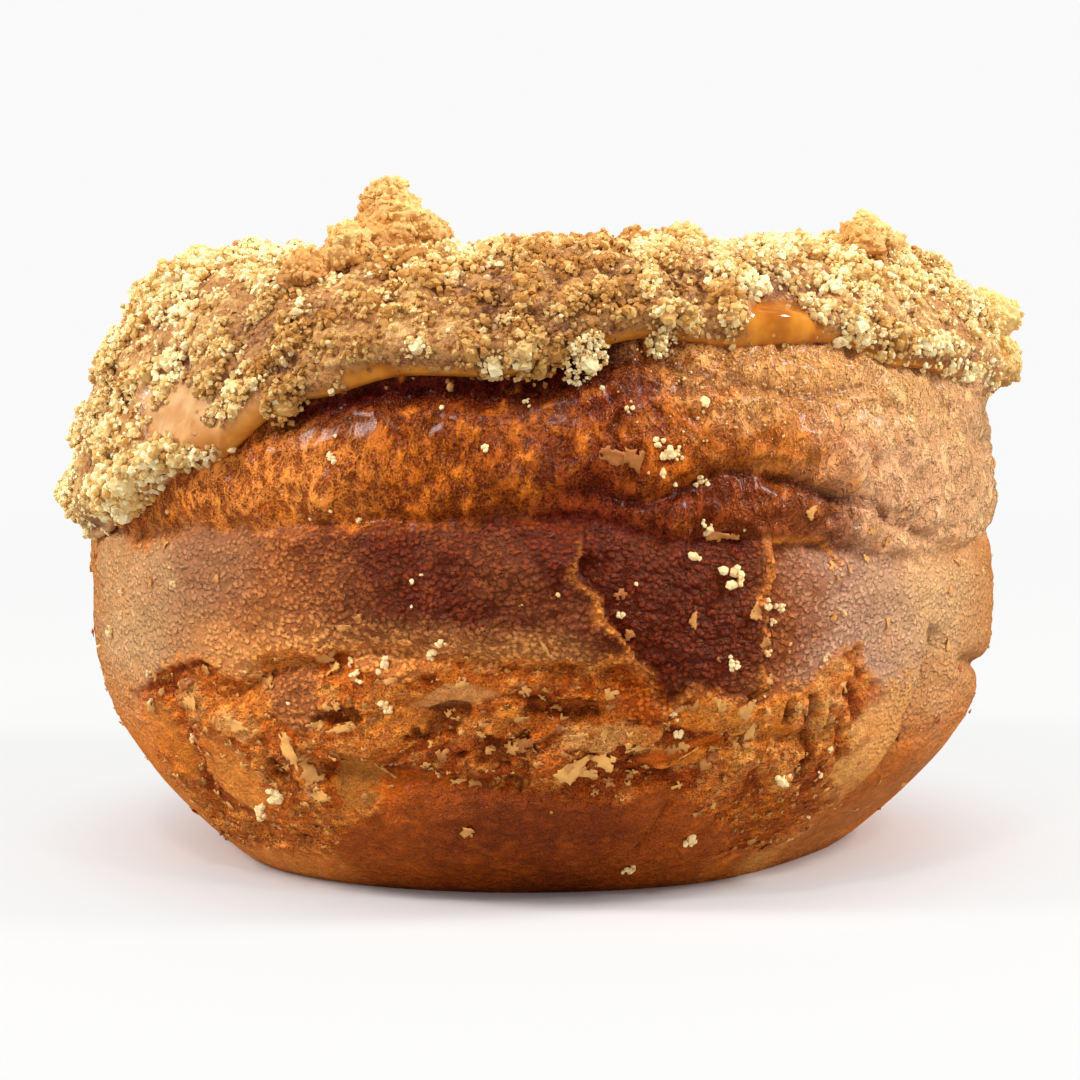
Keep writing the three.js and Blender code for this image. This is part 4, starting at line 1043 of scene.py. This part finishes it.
# Stray crumbs: bearing, height, size, how brown.
strayCrumbs = [
    (18.6, 37.9, 0.75, 0.35), (21.8, 30.0, 1.25, 0.2), (17.6, 31.5, 0.7, 0.3), (18.7, 43.8, 0.8, 0.15),
    (18, 42.6, 0.4, 0.15), (10.3, 43.3, 0.5, 0.1), (7.3, 45, 0.4, 0.1), (19.6, 33.9, 0.7, 0.15),
    (25.8, 27.3, 0.65, 0.15), (28, 26.9, 0.7, 0.1), (27.2, 25.8, 0.5, 0.15), (21.6, 22.7, 0.75, 0),
    (9.1, 26.8, 0.5, 0.1), (15.8, 18.3, 0.75, 0.1), (16.3, 16.4, 0.65, 0.1), (31.4, 11.8, 0.85, 0.15),
    (22, 6.4, 0.9, 0.2), (14.7, 3.3, 0.75, 0.3), (-17.2, 22.1, 0.9, 0), (-12, 23.3, 0.9, 0.05),
    (-21.1, 21.1, 0.65, 0.1), (-17.5, 18.7, 0.8, 0.3), (-10.6, 24.5, 0.6, 0.2), (-35.5, 9.4, 1.1, 0.2),
    (-53.8, 19.5, 0.5, 0.15), (-55.6, 16.5, 0.6, 0.15), (-22.8, 39.7, 0.65, 0), (-5.5, 40.6, 0.5, 0),
    (-12.6, 30.2, 0.35, 0), (-13.6, 29.6, 0.4, 0), (-26.4, 34.5, 0.3, 0), (-30, 18.4, 0.4, 0.1),
    (-39.8, 7.6, 1.0, 0.35), (-1.1, 44.2, 0.5, 0.05), (-10.5, 43.8, 0.4, 0.1), (14.2, 39.8, 0.85, 0.3),
    (13.2, 40.7, 0.7, 0.35), (13.6, 38.5, 0.6, 0.3), (15.4, 39.9, 0.6, 0.15), (-59.8, 26.3, 0.5, 0.5),
    (-46.7, 27.8, 0.5, 0.5), (37.3, 25.9, 0.45, 0.5), (26.8, 23.1, 0.55, 0.7), (29.7, 23.7, 0.3, 0.5),
    (72, 27.3, 0.5, 0.4),
]


def wallFrame(bearing, height, lift=0.0):  # a place on the finished wall, and its three axes there
    angle = outerAngleAt(height)
    relief, _ = crustRelief(bearing, height, ringPoint(bearing, angle))
    here = ringPoint(bearing, angle, lift, relief)
    sideways = ringPoint(bearing + 1, angle) - ringPoint(bearing - 1, angle)
    upward = ringPoint(bearing, angle + 0.02) - ringPoint(bearing, angle - 0.02)
    sideways /= np.linalg.norm(sideways, axis=1)[:, None]
    outward = np.cross(sideways, upward)
    outward /= np.linalg.norm(outward, axis=1)[:, None]
    return here, sideways, np.cross(outward, sideways), outward


def flakeShapes(chance, count, cuts):  # thin ragged sheets, slightly buckled
    shapes = []
    for _ in range(count):
        bm = bmesh.new()
        bmesh.ops.create_grid(bm, x_segments=cuts, y_segments=max(3, cuts // 2), size=1)
        phases = [chance.uniform(0, 6.3) for _ in range(4)]

        def edge(turn):
            return 0.78 + 0.16 * math.sin(3 * turn + phases[0]) + 0.12 * math.sin(7 * turn + phases[1])

        middles = {f: f.calc_center_median() for f in bm.faces}
        outside = [f for f, at in middles.items() if at.length > edge(math.atan2(at.y, at.x))]
        bmesh.ops.delete(bm, geom=outside, context="FACES")
        for v in bm.verts:
            v.co.x += chance.uniform(-0.09, 0.09)
            v.co.y += chance.uniform(-0.12, 0.12)
            buckled = 0.16 * math.sin(3.1 * v.co.x + phases[2]) * math.cos(2.6 * v.co.y + phases[3])
            v.co.z = buckled + chance.uniform(-0.05, 0.05)
        bmesh.ops.solidify(bm, geom=bm.faces[:], thickness=0.07)
        bmesh.ops.recalc_face_normals(bm, faces=bm.faces)
        shapes.append(shapeArrays(bm))
    return shapes


def flakeAxes(sideways, upward, outward, length, width, turn, tilt, curl):
    c, s = np.cos(np.radians(turn))[:, None], np.sin(np.radians(turn))[:, None]
    lengthwise = sideways * c + upward * s
    across = upward * c - sideways * s
    leaning = lengthwise * np.cos(tilt)[:, None] + outward * np.sin(tilt)[:, None]
    face = outward * np.cos(tilt)[:, None] - lengthwise * np.sin(tilt)[:, None]
    return np.stack([leaning * length[:, None] / 2, across * width[:, None] / 2,
                     face * (0.5 + curl)[:, None]], 1)


def seededFlakes(chance, count):  # small flakes where the crust is torn, and a few elsewhere
    bearing = chance.uniform(-180, 180, count * 12)
    height = chance.uniform(3, 33, count * 12)
    zone = crustZones(bearing, height, ringPoint(bearing, outerAngleAt(height)))
    wanted = (zone["torn"] * (1 - 0.8 * zone["plate"]) + 0.5 * zone["golden"]
              + 0.5 * bell(zone["under"] + 0.2, 0.6) + 0.012)
    kept = np.flatnonzero(chance.uniform(0, 1, len(bearing)) < wanted)[:count]
    bearing, height = bearing[kept], height[kept]
    size = 0.35 + 0.95 * chance.uniform(0, 1, len(kept)) ** 2.4
    upright = between(bearing, 22, 43, 4)
    turn = np.where(chance.uniform(0, 1, len(kept)) < upright, 85, 8) + chance.normal(0, 24, len(kept))
    return np.stack([bearing, height, size, size * chance.uniform(0.3, 0.7, len(kept)), turn,
                     chance.uniform(0.15, 0.8, len(kept)), chance.uniform(0, 0.5, len(kept)),
                     chance.uniform(0.25, 1.0, len(kept))], -1)


def makeFlakes(material):
    chance = np.random.default_rng(29)
    dice = random.Random(41)
    for name, rows, shapes in (("crustFlakes", np.array(wallFlakes, float), flakeShapes(dice, 12, 12)),
                               ("crustShreds", seededFlakes(chance, 1000), flakeShapes(dice, 10, 6))):
        bearing, height, length, width, turn, lift, curl, tone = rows.T
        here, sideways, upward, outward = wallFrame(bearing, height, 0.12 + 0.25 * lift)
        tilt = lift * chance.choice([-0.5, 0.5], len(lift))
        axes = flakeAxes(sideways, upward, outward, length * 1.25, width * 1.3, turn, tilt, curl)
        kinds = chance.integers(0, len(shapes), len(lift))
        mesh = joinCopies(name, shapes, kinds, axes, here, {"tone": tone})
        finishMesh(newPiece(name, mesh, material))
        print(name, len(rows), "flakes,", len(mesh.polygons), "faces")


def makeStrayCrumbs(material):
    chance = np.random.default_rng(37)
    rows = list(strayCrumbs)
    for _ in range(70):
        rows.append((chance.uniform(-180, 180), chance.uniform(6, 42), 0.25 + 0.5 * chance.uniform() ** 2,
                     chance.uniform(0, 0.7)))
    for _ in range(260):  # dust below the icing, thickest on the right
        at = chance.triangular(8, 36, 62)
        fallen = along(icingEdge, at) - 0.6 - 7 * chance.uniform() ** 1.6
        rows.append((at, float(fallen), chance.uniform(0.02, 0.2), chance.uniform(0.5, 1)))
    bearing, height, size, brown = np.array(rows, float).T
    frames = wallFrame(bearing, height, 0.1)
    owners = np.repeat(np.arange(len(rows)), np.where(size < 0.45, 1, (3 + 7 * size).astype(int)))
    here, sideways, upward, outward = [axis[owners] for axis in frames]
    size, brown, alone = size[owners], brown[owners], size[owners] < 0.45
    step = chance.normal(0, 0.34, (len(owners), 2)) * size[:, None] * ~alone[:, None]
    rise = chance.uniform(0, 0.5, len(owners)) * size * ~alone
    places = here + sideways * step[:, :1] + upward * step[:, 1:] + outward * rise[:, None]
    sizes = size * chance.uniform(0.24, 0.42, len(size)) + 0.08 * alone
    tones = np.clip(brown + chance.normal(0, 0.08, len(size)), 0, 1)
    kinds = chance.integers(4, 8, len(sizes))
    mesh = joinCopies("strayCrumbs", grainShapes(8), kinds, randomAxes(chance, sizes), places,
                      {"tone": tones, "soaked": 0 * tones})
    finishMesh(newPiece("strayCrumbs", mesh, material), rounded=False)


def flakeMaterial():
    finish = Finish("crispFlake")
    tone = finish.mask("tone")
    mottled = finish.noise(0.8, detail=3)
    fine = finish.noise(0.25, detail=2)
    colour = finish.mix((tone + mottled * 0.5 - 0.25).clipped(), (255, 190, 100), (164, 84, 26))
    colour = finish.mix((fine.step(0.5, 0.75) * 0.3).clipped(), colour, (232, 150, 66))
    normal = finish.bump(mottled, 0.6, 0.2)
    return finish.surface(Base_Color=colour, Roughness=0.42 + fine * 0.2, Normal=normal, Specular_IOR_Level=0.4)


# The lumps, grown grainy from their own solids.
lumps = {"voxel": 0.19, "swell": -0.1, "grains": 620, "perPoints": 8000, "grainSize": 1.0, "grainDepth": 0.5,
         "fineSize": 0.45, "fineDepth": 0.2, "chunkSize": 2.6, "chunkDepth": 0.6,
         "browner": {"streusel_lump_left": 0.4, "streusel_lump_right": -0.4}}


def makeLump(node, material, seed):
    plan = lumps
    mesh = frame["nodes"][node].data.copy()
    mesh.name = node + "Grainy"
    mesh.materials.clear()
    lump = newPiece(node + "_grainy", mesh, material)
    bm = bmesh.new()
    bm.from_mesh(mesh)
    bmesh.ops.remove_doubles(bm, verts=bm.verts, dist=1e-6)
    bm.to_mesh(mesh)
    bm.free()
    remesh = lump.modifiers.new("remesh", "REMESH")
    remesh.mode, remesh.voxel_size = "VOXEL", plan["voxel"] * mm
    shaped = bpy.data.meshes.new_from_object(lump.evaluated_get(bpy.context.evaluated_depsgraph_get()))
    lump.modifiers.clear()
    lump.data = shaped
    points = meshPoints(shaped) / mm
    normals = np.zeros(len(shaped.vertices) * 3, np.float32)
    shaped.vertices.foreach_get("normal", normals)
    chunks = softNoise(points, plan["chunkSize"], seed + 5)
    grainy = 0.6 - np.abs(softNoise(points, plan["grainSize"], seed)) * 1.8
    fine = 0.5 - np.abs(softNoise(points, plan["fineSize"], seed + 1)) * 1.6
    push = plan["swell"] + plan["chunkDepth"] * chunks + plan["grainDepth"] * grainy + plan["fineDepth"] * fine
    points += normals.reshape(-1, 3) * push[:, None]
    shaped.vertices.foreach_set("co", (points * mm).astype(np.float32).ravel())
    least, most = points.min(axis=0), points.max(axis=0)
    fromLeft, _, up = ((points - least) / (most - least)).T
    # Paler towards the top, a painted light, and darker low down, where the soaked mask adds painted shade;
    # browner towards each lump's left and by each lump's listed amount.
    tone = (1.0 + plan["browner"].get(node, 0) + 1.2 * (1 - fromLeft) ** 2 - 1.15 * up
            + 0.4 * roughNoise(points, 2.8, 2, seed + 2) - 0.3 * grainy)
    tone = np.clip(tone, 0, 1)
    paint(shaped, tone=tone, soaked=np.clip(0.75 - 1.7 * up + 0.3 * (1 - fromLeft) ** 2, 0, 1))
    finishMesh(lump, fromAxis=False)
    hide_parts(node)
    chance = np.random.default_rng(seed)
    chosen = chance.integers(0, len(points), int(plan["grains"] * len(points) / plan["perPoints"]))
    return points[chosen], tone[chosen], up[chosen]


def makeLumpGrains(lumpRows, material):  # grains stuck all over the lumps
    places, tone, up = [np.concatenate(part) for part in zip(*lumpRows)]
    chance = np.random.default_rng(83)
    size = chance.uniform(0.18, 0.42, len(tone))
    tone = np.clip(tone + chance.normal(-0.05, 0.2, len(tone)), 0, 1)
    kinds = chance.integers(0, 4, len(tone)) + 4 * (size > 0.25)
    # Grains low on a lump are darkened: caramel soaking and painted shade.
    mesh = joinCopies("lumpGrains", grainShapes(9), kinds, randomAxes(chance, size), places,
                      {"tone": tone, "soaked": np.clip(0.7 - 1.7 * up, 0, 1)})
    mesh.transform(Matrix.Scale(mm, 4))
    finishMesh(newPiece("lumpGrains", mesh, material), fromAxis=False, rounded=False)
    print("lumpGrains", len(tone), "grains")


# Camera, light and floor.
studio = {
    "lens": 100, "sensor": 36, "distance": 292, "eyeHeight": 58, "aside": 0.3, "tilt": 5.71,  # mm and degrees
    "backdrop": 0.95, "floorRadius": 4.0, "floorTone": (210, 208, 206), "glossShare": 0.05,
    "nearGlow": (0.026, 0.058, 0.82), "farGlow": (0.06, 0.4), "glowInRoom": 0.78,
    "worldFront": 0.63, "worldBack": 0.58, "aimHeight": 0.03,
    "lamps": {  # place, size, power
        "overhead": ((0.05, 0.14, 0.66), (0.4, 0.35), 0.5), "front": ((-0.16, -0.42, 0.56), (0.07, 0.07), 0.8),
        "frontRight": ((0.26, -0.42, 0.46), (0.06, 0.06), 0.65),
        "left": ((-0.5, -0.16, 0.4), (0.13, 0.18), 2.9), "right": ((0.52, -0.08, 0.42), (0.13, 0.18), 3.3),
    },
}


def seenAndGlossy(finish):  # whether a ray comes straight from the eye, or off something glossy
    return [finish.node("ShaderNodeLightPath", {}, {}, output) for output in ("Is Camera Ray", "Is Glossy Ray")]


def makeFloor():  # the paper is lit from below, so shadows are faint
    bm = bmesh.new()
    bmesh.ops.create_circle(bm, cap_ends=True, segments=128, radius=studio["floorRadius"])
    mesh = meshFrom("floor", bm)
    floor = bpy.data.objects.new("floor", mesh)
    bpy.context.scene.collection.objects.link(floor)
    paper = Finish("paleFloor")
    away = paper.node("ShaderNodeVectorMath", {"operation": "LENGTH"}, {0: paper.places()}, 1)
    level, inRoom = studio["backdrop"], studio["glowInRoom"]
    start, end, most = studio["nearGlow"]
    farStart, farEnd = studio["farGlow"]
    glowing = (away.step(start / mm, end / mm, 0.0, most)
               + away.step(farStart / mm, farEnd / mm, 0.0, 1 - most))
    seen, gloss = seenAndGlossy(paper)
    white = paper.node("ShaderNodeBsdfDiffuse", {}, {"Color": colourValue(studio["floorTone"])})
    dark = paper.node("ShaderNodeBsdfDiffuse", {}, {"Color": (0, 0, 0, 1)})
    white = paper.node("ShaderNodeMixShader", {}, {0: gloss * (1 - studio["glossShare"]), 1: white, 2: dark})
    strength = (seen * (level - inRoom) + inRoom) * (1 - gloss * (1 - studio["glossShare"]))
    glow = paper.node("ShaderNodeEmission", {}, {"Color": (1, 1, 1, 1), "Strength": strength})
    blend = paper.node("ShaderNodeMixShader", {}, {0: glowing, 1: white, 2: glow})
    paper.tree.links.new(blend.socket, paper.output.inputs[0])
    mesh.materials.append(paper.material)


def makeStudio():
    scene = bpy.context.scene
    camera = bpy.data.objects.new("camera", bpy.data.cameras.new("camera"))
    scene.collection.objects.link(camera)
    camera.data.lens, camera.data.sensor_width = studio["lens"], studio["sensor"]
    camera.data.clip_start, camera.data.clip_end = 0.01, 20
    camera.location = (ring["axis"][0] + studio["aside"] * mm, ring["axis"][1] - studio["distance"] * mm,
                       studio["eyeHeight"] * mm)
    camera.rotation_euler = (math.radians(90 - studio["tilt"]), 0, 0)
    scene.camera = camera
    scene.view_settings.view_transform = "Standard"
    makeFloor()

    for name, (place, size, power) in studio["lamps"].items():
        light = bpy.data.lights.new(name, "AREA")
        light.shape, light.size, light.size_y = "RECTANGLE", size[0], size[1]
        light.energy = power
        lamp = bpy.data.objects.new(name, light)
        scene.collection.objects.link(lamp)
        lamp.location = place
        aim = Vector((0, 0, studio["aimHeight"])) - Vector(place)
        lamp.rotation_euler = aim.to_track_quat("-Z", "Y").to_euler()

    world = bpy.data.worlds.new("studio")
    scene.world = world
    world.use_nodes = True
    room = Finish("studio", world.node_tree, "ShaderNodeOutputWorld")
    facing = room.node("ShaderNodeTexCoord", {}, {}, "Generated")
    toBack = room.node("ShaderNodeSeparateXYZ", {}, {0: facing}, "Y")
    seen, gloss = seenAndGlossy(room)
    level = toBack.step(-0.7, 0.25, studio["worldFront"], studio["worldBack"])
    level = level * (1 - gloss * (1 - studio["glossShare"]))
    level = level * (1 - seen) + seen * studio["backdrop"]
    light = room.node("ShaderNodeBackground", {}, {"Color": (1, 1, 1, 1), "Strength": level})
    room.tree.links.new(light.socket, room.output.inputs[0])


# Everything together.
makeStudio()
print("studio ready")
makeDough(crustMaterial())
print("dough shaped")
makeIcing(caramelMaterial())
print("icing poured")
paleStreusel = crumbMaterial("paleStreusel", (255, 238, 184), (244, 212, 140), (186, 124, 56))
makeCrumbs({
    "paleCrumbs": paleStreusel,
    "creamCrumbs": crumbMaterial("creamStreusel", (242, 214, 148), (226, 182, 106), (164, 98, 38)),
    "sandyCrumbs": crumbMaterial("sandyStreusel", (236, 200, 128), (216, 166, 86), (150, 88, 30)),
    "goldenCrumbs": crumbMaterial("goldenStreusel", (228, 184, 106), (202, 146, 66), (138, 78, 22)),
    "toastedCrumbs": crumbMaterial("toastedStreusel", (214, 162, 80), (182, 118, 44), (122, 64, 16)),
})
makeFlakes(flakeMaterial())
makeStrayCrumbs(crumbMaterial("strayStreusel", (255, 226, 166), (240, 186, 108), (190, 124, 56)))
lumpStreusel = crumbMaterial("lumpStreusel", (240, 206, 132), (214, 152, 72), (166, 96, 36))
lumpRows = [makeLump(name, lumpStreusel, 60 + number) for number, name in
            enumerate(sorted(name for name in frame["nodes"] if name.startswith("streusel_lump")))]
makeLumpGrains(lumpRows, lumpStreusel)
print("crumbs, flakes and lumps laid")
